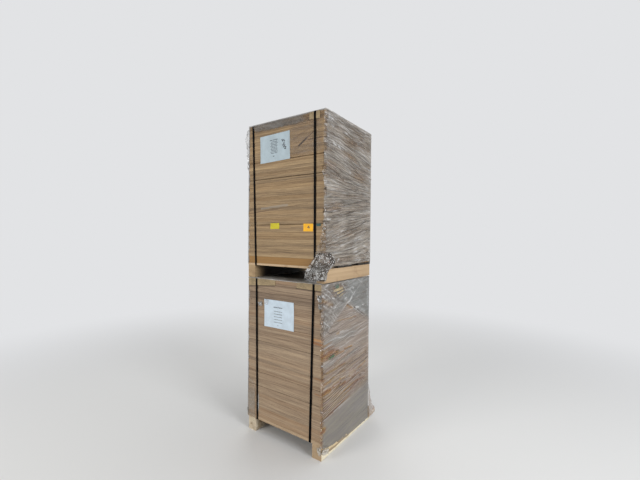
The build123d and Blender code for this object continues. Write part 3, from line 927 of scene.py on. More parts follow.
wrap_film = film_material("wrapped film", film_grey, 2.2, 1.05, 1.0, 0.2)
wall_film = film_material("wall film", film_grey, 1.8, 0.8, 1.0, 0.42)
smooth_film = film_material("smooth film", colour(165, 153, 142), 1.5, 0.9, 1.0, 0.26, film_cool)
top_film = film_material("top film", colour(165, 156, 147), 1.2, 0.6, 1.0, 0.32)
torn_film = film_material("torn film", colour(146, 144, 139), 6.0, 1.35, 1.3, 0.1)
# In the fork pocket this film takes a near-black painted shade.
pocket_film = film_material("film in the pocket", colour(184, 181, 174), 1.2, 0.6, 1.0, 0.32, pocket_shade)
print("film lines:", len(lines_group.nodes), "nodes")

# %% [markdown]
# The film of a pack is one band that starts at a torn lip on the left of the front, goes
# round the left side, the back and the right side, and ends in a torn lip on the right. Its
# plan is a path with small round corners. A point of the film is a place along the path and
# a height, and the folds push it outwards.

# %% Film path and folds
film_gap = 0.0016
front_gap = 0.0046
back_gap = 0.0062
corner_radius = 0.006
lower_slack = 0.004
cover_seat = 0.001


def rounded_path(corners, radius, samples=12):
    """Points and outward directions along a path with round corners, and the length to each.
    A corner's arc turns about a centre that lies the radius inside both its runs."""
    corners = np.asarray(corners, float)
    runs = np.diff(corners, axis=0)
    runs /= np.linalg.norm(runs, axis=1)[:, None]
    outward = np.stack([-runs[:, 1], runs[:, 0]], axis=1)
    points, normals = [corners[:1]], [outward[:1]]
    for k in range(1, len(corners) - 1):
        centre = corners[k] + radius * (runs[k] - runs[k - 1])
        turn = np.linspace(0, np.pi / 2, samples)[:, None]
        normal = np.cos(turn) * outward[k - 1] + np.sin(turn) * outward[k]
        points.append(centre + radius * normal)
        normals.append(normal)
    points = np.concatenate([*points, corners[-1:]])
    normals = np.concatenate([*normals, outward[-1:]])
    length = np.concatenate([[0], np.cumsum(np.linalg.norm(np.diff(points, axis=0), axis=1))])
    return points, normals, length


class Wrap:
    """The plan of a pack's film: its path, and the lengths at its four corners."""

    lip = 0.2

    def __init__(self, pack, right_gap):
        self.pack = pack
        left, right = -pack.wide - film_gap, right_gap
        front, back = -front_gap, pack.deep + back_gap
        corners = [(left + self.lip, front), (left, front), (left, back)]
        corners += [(right, back), (right, front), (right - self.lip, front)]
        self.points, self.normals, self.length = rounded_path(corners, corner_radius)
        self.left_front = self.lip
        self.left_back = self.left_front + back - front
        self.right_back = self.left_back + right - left
        self.right_front = self.length[-1] - self.lip

    def at(self, s):
        """Points and outward directions at lengths s along the path."""
        point = [np.interp(s, self.length, self.points[:, k]) for k in (0, 1)]
        normal = [np.interp(s, self.length, self.normals[:, k]) for k in (0, 1)]
        return np.stack(point, axis=-1), np.stack(normal, axis=-1)


def triangle(phase):
    """A wave of straight ramps: 1 at whole numbers and 0 half-way between them."""
    return np.abs(2 * (phase - np.floor(phase)) - 1)


def wrinkles(u, v, spacing, seed):
    """Wrinkles along u, about a spacing apart: a triangle wave whose phase drifts, and whose
    strength comes and goes along each wrinkle. Returns the wave and its crest lines."""
    drift = 1.4 * noise(u / 0.4, v / (5 * spacing), seed)
    drift = drift + 0.4 * noise(u / 0.09, v / (2 * spacing), seed + 1)
    wave = triangle(v / spacing + drift)
    strength = smooth(-0.45, 0.45, noise(u / 0.22, v / (1.2 * spacing), seed + 2))
    return wave**1.5 * strength, wave**4 * strength


def film_folds(u, v, seed, tall=0.0042, spacing=0.022):
    """Folds along u, broad and small. Returns how far the film stands out, the lines of its
    ridges and those of its creases."""
    broad, broad_crest = wrinkles(u, v, 1.5 * spacing, seed)
    small, small_crest = wrinkles(u, v, 0.65 * spacing, seed + 3)
    hollow, crease = wrinkles(u, v, 0.95 * spacing, seed + 6)
    out = tall * (0.35 + 0.6 * broad + 0.35 * small - 0.4 * hollow)
    return np.clip(out, 0.0002, None), np.maximum(broad_crest, 0.8 * small_crest), crease


def facets(u, v, size, seed, waves=7):
    """A crumpled sheet: triangle waves in random directions add up to flat facets that meet
    in sharp ridges. Returns the height from 0 to 1 and the lines of the ridges."""
    draw = np.random.default_rng(seed)
    height, ridge = 0.0, 0.0
    for k in range(waves):
        angle, scale, start = draw.uniform(0, np.pi), draw.uniform(0.6, 1.7), draw.random()
        bend = 0.6 * noise(u / (2 * size), v / (2 * size), seed + k)
        wave = triangle((u * np.cos(angle) + v * np.sin(angle)) / (size * scale) + start + bend)
        strength = smooth(-0.4, 0.5, noise(u / (1.5 * size), v / (1.5 * size), seed + 20 + k))
        height = height + wave * strength / waves
        ridge = np.maximum(ridge, wave**7 * strength)
    return 1.6 * height, ridge


def build_wall(
    name, wrap, columns, low, high, rows, bulge, haze, tension, state, material, replaces=()
):
    """A wall of film. columns(z) gives the lengths along the path for each height, low(s) and
    high the heights, bulge(s, z) the height of its folds with its pale folds and deep
    creases, haze(s, z) the opacity and the warmth, tension(s, z) the map, and state(s, z)
    where it is torn, tight and in shade."""
    share = np.linspace(0, 1, rows)[:, None]
    s = columns(wrap.pack.deck + (high - wrap.pack.deck) * share)
    z = low(s) + (high - low(s)) * share
    point, normal = wrap.at(s)
    out, fold, crease = bulge(s, z)
    points = np.concatenate([point + normal * out[..., None], z[..., None]], axis=-1)
    piece = add_piece(
        name,
        wrap.pack.world(points),
        grid_faces(rows, s.shape[1]),
        material,
        replaces=replaces,
    )
    opacity, warmth = haze(s, z)
    finish_film(piece, (opacity, fold, crease), tension(s, z), state(s, z), warmth)
    return piece


def finish_film(piece, looks, tension, state, warmth=0.0):
    """Stores each point's haze, folds and creases, where the film is torn, tight and in
    shade, how far the wood tints it, and the map of the tension."""
    shape = np.shape(tension[0])
    for label, parts in (("film", looks), ("state", state)):
        flat = [np.broadcast_to(part, shape) for part in parts]
        add_attribute(piece, label, "FLOAT_VECTOR", np.stack(flat, axis=-1))
    add_attribute(piece, "warm", "FLOAT", np.broadcast_to(warmth, shape))
    layer = piece.data.uv_layers.new(name="tension")
    index = np.empty(len(piece.data.loops), np.int32)
    piece.data.loops.foreach_get("vertex_index", index)
    flat = np.stack([part.ravel() for part in tension], axis=1)
    layer.data.foreach_set("uv", flat[index].astype(np.float32).ravel())


def jagged(z, least, most, seed):
    """Width of a torn edge: broad bites with fine teeth on them."""
    broad = (noise(z / 0.05, 0.5, seed) + 1) / 2
    teeth = (noise(z / 0.012, 0.5, seed + 1) + 1) / 2
    return least + (most - least) * broad * (0.35 + 0.65 * teeth)


# %% [markdown]
# On the right side of the upper pack the folds rise and fall like a fan: they drop towards
# the back in the upper part and climb in the lower part. So the map of the tension is the
# depth, and a height from which the fold's slope times the depth is taken away. The slopes
# are given at a few heights.

# %% Right side of the upper pack
fold_heights = (1.33, 1.42, 1.5, 1.6, 1.7, 1.78, 1.86, 1.95, 2.03, 2.12, 2.25, 2.43)
fold_slopes = (0.0, 0.06, 0.14, 0.2, 0.19, 0.12, 0.05, -0.05, -0.17, -0.17, -0.08, -0.03)
fine_step = 0.0042
coarse_step = 0.0075
upper_wrap = Wrap(upper, film_gap)
lower_wrap = Wrap(lower, film_gap + lower_slack)
upper_hem = upper.deck + 0.015
hem_rise, hem_level = 0.013, 0.34


def count(length, step):
    """Number of grid points along a length."""
    return int(round(length / step)) + 1


def side_depth(wrap, s):
    """Depth behind the front of a place on the right wall, negative on the lip."""
    return wrap.right_front - s


def fan(y, z):
    """Map of the upper folds: the depth, and the height less the slope times the depth."""
    return y, z - np.interp(z, fold_heights, fold_slopes) * y


def patch(y, z, middle, reach):
    """A soft oval spot: 1 in its middle, fading over its reach in depth and in height."""
    return np.exp(-(((y - middle[0]) / reach[0]) ** 2) - ((z - middle[1]) / reach[1]) ** 2)


def drawn(y, z, lines):
    """Single lines at places of their own, given as (y, z, y, z, width, strength): 1 on the
    way from the first point to the second, fading over the width, with a slight sway."""
    z = z + 0.003 * noise(y / 0.035, z / 0.05, 120)
    mask = 0 * y
    for start_y, start_z, end_y, end_z, width, strength in lines:
        run_y, run_z = end_y - start_y, end_z - start_z
        share = ((y - start_y) * run_y + (z - start_z) * run_z) / (run_y**2 + run_z**2)
        share = np.clip(share, 0, 1)
        away = np.hypot(y - start_y - share * run_y, z - start_z - share * run_z)
        mask = np.maximum(mask, strength * np.exp(-((away / width) ** 2)))
    return mask


def on_lip(wrap, s):
    """1 on the torn lip round the front right corner, 0 on the wall behind it."""
    return smooth(0.014, -0.004, side_depth(wrap, s))


def lip_crumples(wrap, s, z, tall):
    """The torn lip's crumples: how far they stand out, and their pale and dark flecks, painted glints and
    painted shade.
    """
    lip = on_lip(wrap, s)
    small, ridge = facets(s, z, 0.016, 38)
    pale = lip * ridge * smooth(-0.3, 0.3, noise(z / 0.02, s / 0.02, 39))
    dark = lip * smooth(0.25, 0.6, noise(z / 0.013, s / 0.008, 40))
    dark = dark * smooth(-0.2, 0.3, noise(z / 0.07, 0.5, 43))
    return lip * tall * (0.3 + small), pale, dark


def torn_here(wrap, s, z):
    """1 where the lip is torn, which comes and goes up the corner."""
    return on_lip(wrap, s) * smooth(-0.15, 0.4, noise(z / 0.08, 0.5, 44))


# Dark lines drawn on the film: painted shade in its creases.
upper_dark_lines = (
    (-0.008, 1.722, 0.085, 1.719, 0.0055, 1.0),
    (-0.008, 1.655, 0.05, 1.651, 0.0055, 1.0),
    (-0.008, 1.985, 0.05, 1.972, 0.005, 0.8),
    (0.0, 2.03, 0.09, 2.024, 0.005, 0.9),
    (0.09, 2.024, 0.24, 1.967, 0.0055, 0.9),
    (0.005, 2.11, 0.19, 2.098, 0.005, 0.7),
    (0.09, 1.7, 0.25, 1.712, 0.0045, 0.8),
    (0.25, 1.712, 0.4, 1.746, 0.0055, 1.0),
    (0.34, 1.6, 0.43, 1.618, 0.0045, 0.8),
    (0.43, 1.618, 0.62, 1.68, 0.0055, 1.0),
    (0.31, 1.808, 0.41, 1.815, 0.0045, 0.7),
    (0.41, 1.815, 0.64, 1.857, 0.0055, 1.0),
    (0.11, 1.767, 0.255, 1.774, 0.004, 0.6),
    (0.42, 1.567, 0.595, 1.608, 0.0055, 0.9),
    (0.47, 1.438, 0.635, 1.461, 0.0045, 0.7),
    (0.31, 1.461, 0.39, 1.485, 0.004, 0.6),
    (0.08, 1.548, 0.2, 1.585, 0.004, 0.6),
    (0.345, 2.098, 0.395, 2.086, 0.005, 0.8),
    (0.395, 2.086, 0.545, 2.026, 0.0055, 1.0),
    (0.4, 2.121, 0.6, 2.072, 0.0045, 0.7),
    (0.475, 1.986, 0.605, 1.966, 0.0045, 0.7),
    (0.51, 2.187, 0.645, 2.164, 0.0045, 0.8),
    (0.26, 2.37, 0.4, 2.362, 0.004, 0.6),
    (0.5, 2.3, 0.62, 2.27, 0.004, 0.6),
)
upper_glints = (
    (0.045, 2.389, 0.078, 2.381, 0.009, 1.0),
    (0.165, 2.206, 0.195, 2.196, 0.008, 1.0),
    (0.095, 2.214, 0.13, 2.206, 0.006, 0.9),
    (0.245, 2.327, 0.29, 2.324, 0.005, 0.9),
    (0.332, 2.047, 0.346, 2.04, 0.006, 0.9),
    (0.015, 2.246, 0.05, 2.236, 0.006, 0.7),
    (0.06, 2.337, 0.09, 2.33, 0.006, 0.7),
    (0.03, 2.181, 0.1, 2.168, 0.005, 0.6),
    (0.02, 1.672, 0.065, 1.668, 0.008, 0.6),
    (0.08, 1.54, 0.18, 1.572, 0.004, 0.6),
    (0.2, 1.582, 0.3, 1.607, 0.004, 0.6),
    (0.05, 1.4, 0.075, 1.392, 0.006, 0.9),
    (0.165, 1.372, 0.185, 1.382, 0.007, 1.0),
    (0.12, 1.385, 0.13, 1.378, 0.006, 0.9),
    (-0.006, 2.405, 0.004, 2.398, 0.007, 0.9),
    (-0.014, 2.374, -0.008, 2.366, 0.006, 1.0),
    (-0.004, 2.322, 0.004, 2.315, 0.006, 0.9),
    (-0.016, 2.3, -0.01, 2.292, 0.005, 0.8),
    (-0.008, 2.272, 0.0, 2.266, 0.006, 0.9),
    (-0.006, 2.205, 0.002, 2.2, 0.006, 0.8),
    (-0.006, 2.118, 0.0, 2.112, 0.005, 0.7),
    (-0.006, 1.636, 0.001, 1.63, 0.006, 1.0),
    (-0.008, 1.604, -0.001, 1.598, 0.007, 1.0),
    (-0.006, 1.512, 0.001, 1.504, 0.006, 0.9),
)


def upper_right_bulge(s, z):
    """Sharp folds along the fan's lines, crumpled near the front, and a crumpled lip."""
    y = side_depth(upper_wrap, s)
    u, v = fan(y, z)
    top = smooth(1.85, 2.25, z)
    out, fold, crease = film_folds(u, v, 30, 0.0046, 0.02)
    crumple, facet_line = facets(y, z, 0.05, 34)
    near = smooth(0.3, 0.0, y) * (0.35 + 0.65 * top)
    side = smooth(-0.012, 0.02, y)
    glint = patch(y, z, (0.13, 2.205), (0.1, 0.022)) + patch(y, z, (0.06, 2.38), (0.06, 0.025))
    fold = np.maximum(fold * (0.42 + 0.5 * glint), near * facet_line * (0.25 + glint))
    fold = np.maximum(fold, drawn(y, z, upper_glints))
    lip_out, lip_pale, lip_dark = lip_crumples(upper_wrap, s, z, 0.009)
    out = side * out * (1 - 0.5 * near) * (0.8 + 0.4 * top) + 0.01 * near * crumple * side + lip_out
    crease = side * crease * (0.85 + 0.3 * noise(u / 0.3, v / 0.06, 33))
    crease = np.maximum(crease, drawn(y, z, upper_dark_lines))
    return out, np.clip(np.maximum(fold, lip_pale), 0, 1), np.clip(np.maximum(crease, lip_dark), 0, 1)


tan_spots = (
    ((0.1, 2.06), (0.1, 0.035)),
    ((0.34, 2.28), (0.12, 0.03)),
    ((0.33, 2.16), (0.08, 0.03)),
    ((0.14, 1.78), (0.09, 0.025)),
    ((0.3, 1.57), (0.07, 0.02)),
    ((0.3, 1.385), (0.14, 0.018)),
    ((0.12, 1.74), (0.16, 0.03)),
    ((0.52, 2.02), (0.14, 0.03)),
)


def upper_right_haze(s, z):
    """Even haze, with clearer and warmer spots where the wood shows."""
    y = side_depth(upper_wrap, s)
    u, v = fan(y, z)
    clear = sum(patch(y, z, middle, reach) for middle, reach in tan_spots)
    base = 0.7 + 0.14 * noise(u / 0.25, v / 0.03, 35) - 0.16 * clear
    open_lip = np.maximum(smooth(1.66, 1.5, z), 0.9 * smooth(-0.3, 0.2, noise(z / 0.06, 0.5, 45)))
    corner = smooth(0.02, -0.004, y)
    base = base - 0.48 * corner * open_lip
    lines, _ = wrinkles(u, v, 0.024, 61)
    warmth = 0.4 * clear * (0.35 + lines) + 0.1 * smooth(0.0, 0.6, noise(u / 0.2, v / 0.05, 64))
    return np.clip(base, 0.12, 0.92), np.clip(warmth + 0.4 * corner * open_lip, 0, 0.8)


def upper_right_hem(s):
    """Hem height: level in front, rising towards the rear, and a little ragged."""
    share = (side_depth(upper_wrap, s) - hem_level) / (upper.deep - hem_level)
    return upper_hem + hem_rise * np.clip(share, 0, 1) + 0.003 * noise(s / 0.05, 0.5, 37)


def upper_lip(z):
    """Width of the torn lip in front: narrow, but a broad clear flap near the bottom."""
    return jagged(z, 0.001, 0.03, 36) + 0.06 * smooth(1.62, 1.4, z)


def right_columns(wrap, step, lip_width):
    """Lengths along the path from the rear corner to the torn lip, for each height."""
    main = np.linspace(wrap.right_back, wrap.right_front, count(wrap.right_front - wrap.right_back, step))
    lip_share = np.linspace(0, 1, 13)[1:]

    def columns(z):
        lip = wrap.right_front + lip_share * lip_width(z)
        return np.concatenate([main + 0 * z, lip], axis=1)

    return columns


upper_right_film = build_wall(
    "upper_right_film",
    upper_wrap,
    right_columns(upper_wrap, fine_step, upper_lip),
    upper_right_hem,
    upper.cover - cover_seat,
    count(upper.cover - upper_hem, fine_step),
    upper_right_bulge,
    upper_right_haze,
    lambda s, z: fan(side_depth(upper_wrap, s), z),
    lambda s, z: (torn_here(upper_wrap, s, z), 0, 0.2 * smooth(2.05, 2.2, z)),
    wrap_film,
    replaces=["upper_film"],
)
print("upper right film:", len(upper_right_film.data.polygons), "faces")

# %% [markdown]
# The lower film is crumpled over a long crease that climbs from the front edge, tight over
# the ends of the boards, and a smooth skirt over the bearer. Noise can't place what stands
# out, so single lines and glints are listed.

# %% Right side of the lower pack
skirt_front_hem, skirt_middle_hem, skirt_rear_hem = 0.095, 0.022, 0.016
skirt_fall, bearer_long = 0.12, 0.714


def lower_right_hem(s):
    """Hem height: the CAD film's curve, with t found from y = 2t(1 - t)f + t^2 L."""
    y = np.clip(side_depth(lower_wrap, s), 0, bearer_long)
    bend = bearer_long - 2 * skirt_fall
    t = (np.sqrt(skirt_fall**2 + y * bend) - skirt_fall) / bend
    height = (1 - t) ** 2 * skirt_front_hem + 2 * t * (1 - t) * skirt_middle_hem + t**2 * skirt_rear_hem
    return height + 0.003 * noise(s / 0.03, 0.5, 40) + 0.002 * noise(s / 0.011, 0.5, 41)


crease_start, crease_slope = (0.05, 0.885), 0.6
roof_top = (0.32, 1.045)
roof_slope = -0.53
second_slope = -1.1


def crease_height(y):
    """Height of the long crease that climbs from the front edge towards the back."""
    return crease_start[1] + crease_slope * (y - crease_start[0])


def roof_height(y):
    """Height under which the film lies flat: the crease in front, then the torn edge behind."""
    return np.minimum(crease_height(y), roof_top[1] + roof_slope * (y - roof_top[0]))


def beside(value, width):
    """A line's mask: 1 where the value is 0, fading over the width."""
    return np.exp(-((value / width) ** 2))


# Dark lines drawn on the film: painted shade in its creases and under its torn edge.
lower_dark_lines = (
    (0.056, 0.885, 0.085, 0.865, 0.005, 0.9),
    (0.085, 0.865, 0.16, 0.861, 0.006, 1.0),
    (0.16, 0.861, 0.195, 0.867, 0.006, 1.0),
    (0.14, 0.928, 0.215, 0.929, 0.005, 0.6),
    (0.145, 0.757, 0.3, 0.741, 0.004, 0.6),
    (0.38, 0.775, 0.43, 0.763, 0.005, 0.5),
    (0.075, 0.748, 0.145, 0.738, 0.007, 0.7),
    (0.17, 0.727, 0.215, 0.712, 0.007, 0.8),
    (0.29, 0.7, 0.4, 0.694, 0.0045, 0.8),
    (0.09, 0.679, 0.145, 0.677, 0.005, 0.7),
    (0.005, 0.607, 0.05, 0.588, 0.005, 0.8),
    (0.05, 0.588, 0.3, 0.59, 0.004, 0.6),
    (0.32, 0.566, 0.415, 0.568, 0.0045, 0.7),
    (0.415, 0.568, 0.53, 0.578, 0.0045, 0.9),
    (0.53, 0.578, 0.68, 0.57, 0.004, 0.6),
    (0.1, 0.54, 0.3, 0.552, 0.0045, 0.8),
    (0.04, 0.515, 0.1, 0.514, 0.004, 0.6),
    (0.515, 0.528, 0.58, 0.531, 0.005, 0.8),
    (0.58, 0.531, 0.66, 0.543, 0.005, 1.0),
    (0.5, 0.487, 0.56, 0.495, 0.005, 0.7),
    (0.145, 0.443, 0.23, 0.445, 0.005, 0.9),
    (0.02, 0.445, 0.075, 0.44, 0.005, 0.8),
    (0.23, 0.482, 0.29, 0.481, 0.004, 0.7),
    (0.515, 0.432, 0.545, 0.43, 0.006, 0.7),
    (0.38, 0.372, 0.5, 0.391, 0.005, 0.8),
    (0.545, 0.387, 0.6, 0.386, 0.005, 0.7),
    (0.056, 1.187, 0.12, 1.134, 0.01, 0.6),
    (0.12, 1.134, 0.2, 1.082, 0.011, 0.6),
    (0.2, 1.082, 0.27, 1.066, 0.008, 0.7),
    (0.015, 1.117, 0.085, 1.128, 0.006, 0.5),
    (0.085, 1.128, 0.115, 1.093, 0.006, 0.6),
    (0.11, 1.043, 0.16, 1.03, 0.006, 0.6),
    (0.27, 1.195, 0.34, 1.16, 0.005, 0.5),
    (0.605, 1.165, 0.625, 1.14, 0.012, 0.35),
    (0.5, 1.13, 0.6, 1.118, 0.007, 0.3),
    (0.4, 1.085, 0.46, 1.075, 0.008, 0.35),
    (0.335, 1.031, 0.362, 1.024, 0.006, 0.9),
    (0.425, 0.998, 0.447, 0.988, 0.007, 1.0),
    (0.48, 0.968, 0.6, 0.906, 0.006, 0.9),
    (0.01, 0.11, 0.09, 0.062, 0.005, 0.6),
    (0.375, 0.243, 0.45, 0.232, 0.005, 0.25),
    (0.565, 0.236, 0.605, 0.236, 0.005, 0.25),
)
lower_glints = (
    (0.112, 1.11, 0.136, 1.106, 0.006, 1.0),
    (0.13, 1.036, 0.158, 1.038, 0.006, 1.0),
    (-0.006, 1.143, 0.016, 1.128, 0.008, 1.0),
    (0.002, 1.071, 0.014, 1.066, 0.006, 1.0),
    (0.403, 1.153, 0.416, 1.15, 0.004, 1.0),
    (0.456, 0.99, 0.5, 0.984, 0.009, 0.9),
    (0.51, 0.98, 0.6, 0.936, 0.02, 0.35),
    (0.368, 1.065, 0.392, 1.084, 0.009, 0.9),
    (0.245, 1.2, 0.3, 1.148, 0.006, 0.6),
    (0.285, 1.085, 0.305, 1.088, 0.007, 0.6),
    (0.33, 1.05, 0.36, 1.06, 0.006, 0.8),
    (0.642, 1.12, 0.655, 0.98, 0.012, 0.35),
    (0.566, 0.994, 0.58, 0.99, 0.006, 0.7),
    (0.1, 1.052, 0.118, 1.04, 0.006, 0.7),
    (0.105, 1.165, 0.175, 1.15, 0.006, 0.4),
    (-0.01, 0.664, 0.002, 0.656, 0.006, 1.0),
    (0.35, 0.902, 0.44, 0.904, 0.004, 0.28),
    (0.3, 0.94, 0.47, 0.934, 0.004, 0.28),
    (0.225, 0.846, 0.27, 0.844, 0.005, 0.55),
    (0.27, 0.844, 0.34, 0.837, 0.004, 0.3),
    (0.39, 0.866, 0.465, 0.868, 0.003, 0.3),
    (0.44, 0.77, 0.57, 0.776, 0.004, 0.25),
    (0.48, 0.717, 0.6, 0.724, 0.004, 0.25),
    (0.48, 0.603, 0.6, 0.61, 0.004, 0.25),
    (-0.008, 0.345, 0.01, 0.336, 0.006, 0.8),
    (0.0, 0.32, 0.08, 0.318, 0.004, 0.5),
    (0.22, 0.282, 0.38, 0.303, 0.003, 0.25),
    (0.2, 0.657, 0.32, 0.662, 0.004, 0.28),
    (0.355, 0.508, 0.415, 0.512, 0.007, 0.5),
    (0.375, 0.48, 0.445, 0.478, 0.009, 0.5),
    (0.15, 0.472, 0.225, 0.467, 0.007, 0.5),
    (0.245, 0.5, 0.295, 0.5, 0.005, 0.45),
    (0.06, 0.545, 0.22, 0.553, 0.004, 0.35),
    (0.04, 0.43, 0.26, 0.436, 0.004, 0.4),
    (0.33, 0.462, 0.52, 0.47, 0.004, 0.35),
    (0.42, 0.415, 0.52, 0.422, 0.005, 0.35),
)
lower_warm_lines = (
    (0.03, 0.523, 0.1, 0.524, 0.009, 1.0),
    (0.1, 0.532, 0.3, 0.545, 0.006, 0.8),
    (0.02, 0.595, 0.3, 0.592, 0.006, 0.6),
    (0.03, 0.464, 0.1, 0.457, 0.017, 1.0),
    (0.145, 0.468, 0.23, 0.464, 0.016, 1.0),
    (0.23, 0.492, 0.3, 0.492, 0.007, 0.9),
    (0.25, 0.45, 0.3, 0.448, 0.01, 1.0),
    (0.36, 0.508, 0.42, 0.512, 0.009, 0.7),
    (0.37, 0.478, 0.45, 0.476, 0.012, 0.7),
    (0.02, 0.288, 0.14, 0.289, 0.007, 1.0),
    (0.38, 0.38, 0.5, 0.399, 0.008, 0.8),
    (0.52, 0.395, 0.61, 0.392, 0.01, 0.6),
    (0.5, 0.5, 0.62, 0.52, 0.01, 0.5),
    (0.0, 0.718, 0.08, 0.712, 0.026, 1.0),
    (0.08, 0.73, 0.19, 0.716, 0.018, 1.0),
    (0.18, 0.7, 0.28, 0.69, 0.009, 0.8),
    (0.29, 0.704, 0.4, 0.701, 0.007, 1.0),
    (0.03, 0.763, 0.14, 0.761, 0.005, 0.6),
    (0.19, 0.932, 0.455, 0.921, 0.006, 0.5),
    (0.18, 0.842, 0.21, 0.84, 0.007, 0.6),
    (0.32, 1.028, 0.4, 0.998, 0.01, 0.6),
    (0.0, 1.105, 0.11, 1.062, 0.018, 0.5),
    (0.01, 0.215, 0.03, 0.205, 0.02, 0.8),
)


def lower_right_bulge(s, z):
    """Crumples over the roof line, thin folds over the boards, and a smooth skirt below.
    The crease, the torn edge and a third line that meets them stand out as sharp ridges."""
    y = side_depth(lower_wrap, s)
    side = smooth(-0.012, 0.02, y)
    over = smooth(-0.004, 0.004, z - roof_height(y))
    skirt = smooth(0.36, 0.28, z - 0.06 * y)
    under = (1 - over) * (1 - skirt)
    still = 1 - 0.5 * over * smooth(0.3, 0.36, y) * smooth(0.012, -0.012, z - crease_height(y))
    crumple, _ = facets(y, 0.7 * z, 0.075, 41)
    small, small_line = facets(y, z, 0.03, 42)
    _, down = wrinkles(y, z + 0.55 * y, 0.04, 71)
    _, up = wrinkles(y, z - 0.5 * y, 0.055, 74)
    _, hollow = wrinkles(y, z + 0.45 * y, 0.045, 77)
    layer, layer_fold, layer_crease = film_folds(y, z - 0.09 * y, 44, 0.003, 0.018)
    wrinkle, _, _ = film_folds(y, z - 0.15 * y, 45, 0.0009, 0.06)
    wave = 0.0016 * noise(y / 0.02, 0.5, 46)
    patchy = 0.55 + 0.35 * noise(y / 0.035, z / 0.03, 50)
    crease = beside(z - crease_height(y) + wave, 0.007) * smooth(0.57, 0.52, y)
    crease = crease * smooth(0.02, 0.06, y) * patchy
    edge_gap = z - (roof_top[1] + roof_slope * (y - roof_top[0])) + 3 * wave
    ragged = 0.7 + 0.4 * noise(y / 0.013, z / 0.01, 48)
    edge = beside(edge_gap, 0.006) * smooth(0.3, 0.34, y) * smooth(0.62, 0.56, y) * ragged
    third = beside(z - roof_top[1] - second_slope * (y - roof_top[0]) - 0.01, 0.004)
    third = third * smooth(0.21, 0.25, y) * smooth(0.36, 0.32, y)
    loose = 0.008 * crumple + 0.003 * small + 0.004 * np.maximum(down, up)
    out = over * still * loose + under * layer + (1 - over) * skirt * wrinkle
    out = out + 0.005 * np.maximum(crease, 0.6 * third) + 0.006 * edge
    _, dark_lines, between = board_lines(y, z)
    near = smooth(0.3, 0.05, y)
    streak = (0.45 + 0.4 * near) * np.maximum(down, 0.8 * up)
    fold = over * still * np.maximum(streak, (0.2 + 0.2 * near) * small_line)
    fold = np.maximum.reduce([fold, 0.5 * under * layer_fold, between])
    fold = np.maximum.reduce([fold, 0.8 * crease, 0.4 * third, 0.55 * edge])
    deep = over * still * np.maximum((0.6 + 0.15 * near) * hollow, 0.55 * near * smooth(0.4, 0.2, small))
    dark_lines = np.maximum(under * layer_crease, dark_lines)
    deep = np.maximum.reduce([deep, (1 - over) * dark_lines, drawn(y, z, lower_dark_lines)])
    lip_out, lip_pale, lip_dark = lip_crumples(lower_wrap, s, z, 0.007)
    fold = np.maximum(fold * side, lip_pale * smooth(-0.2, 0.5, noise(z / 0.07, 0.5, 49)))
    fold = np.maximum(fold, drawn(y, z, lower_glints))
    deep = np.maximum(deep * side, 0.8 * lip_dark)
    return side * out + lip_out, np.clip(fold, 0, 1), np.clip(deep, 0, 1)


clear_spots = (
    ((0.13, 0.695), (0.07, 0.016)),
    ((0.2, 1.155), (0.1, 0.05)),
)
press_lines = (
    (0.278, 0.1, 0.4),
    (0.296, 0.12, 0.34),
    (0.311, 0.13, 0.46),
    (0.329, 0.12, 0.36),
    (0.346, 0.12, 0.52),
    (0.362, 0.13, 0.3),
    (0.38, 0.11, 0.4),
    (0.398, 0.1, 0.56),
    (0.417, 0.09, 0.34),
)


def board_lines(y, z):
    """Lines where the ends of the boards press against the film, low down in front: how warm
    the film is there, the dark lines beside them, painted shade, and the pale ones between,
    painted highlights. They climb towards the back. A line is (height in front, slope, depth
    where it ends)."""
    sway = z + 0.004 * noise(y / 0.09, z / 0.03, 121)
    strength = 0.85 + 0.4 * noise(y / 0.08, z / 0.012, 122)
    warm, dark, between = 0 * y, 0 * y, 0 * y
    for height, slope, reach in press_lines:
        away = sway - height - slope * y
        fade = smooth(reach, reach - 0.12, y) * smooth(-0.002, 0.012, y)
        warm = np.maximum(warm, beside(away - 0.006, 0.006) * fade)
        dark = np.maximum(dark, beside(away, 0.0044) * fade)
        between = np.maximum(between, beside(away + 0.0085, 0.004) * fade)
    wave, _ = wrinkles(0.8 * y, z - 0.11 * y, 0.046, 57)
    seldom = 0.4 * smooth(0.88, 0.8, z) * smooth(0.6, 0.66, z) * smooth(0.6, 0.3, y)
    warm = np.maximum(0.95 * warm * strength, seldom * smooth(0.25, 0.55, wave))
    return warm, 1.3 * dark * strength, 0.5 * between * strength


def lower_right_haze(s, z):
    """Grey haze over the roof line, under it and on the skirt. In the middle the ends of the
    boards press against the film and show through it as warm lines."""
    y = side_depth(lower_wrap, s)
    over = smooth(-0.004, 0.004, z - roof_height(y))
    bottom = smooth(0.3, 0.27, z - 0.08 * y)
    lines, _, _ = board_lines(y, z)
    warm = drawn(y, z, lower_warm_lines)
    clear = np.clip(sum(patch(y, z, spot, reach) for spot, reach in clear_spots), 0, 1)
    haze = 0.74 + 0.05 * noise(y / 0.2, z / 0.05, 59) + 0.08 * bottom
    teeth = 0.03 + 0.026 * noise(z / 0.018, 0.5, 130)
    corner = smooth(teeth, -0.004, y) * (0.35 + 0.65 * smooth(0.9, 0.82, z))
    tan = (1 - over) * (1 - bottom) * (0.06 + 0.24 * smooth(0.66, 0.56, z - 0.06 * y))
    warmth = np.maximum(lines * (1 - over), warm) + 0.2 * bottom + 0.45 * corner + tan
    haze = haze - 0.08 * warmth - 0.62 * clear - 0.2 * corner
    haze = haze - 0.35 * on_lip(lower_wrap, s) * smooth(-0.3, 0.2, noise(z / 0.06, 0.5, 45))
    return np.clip(haze, 0.1, 0.92), np.clip(warmth, 0, 0.95)


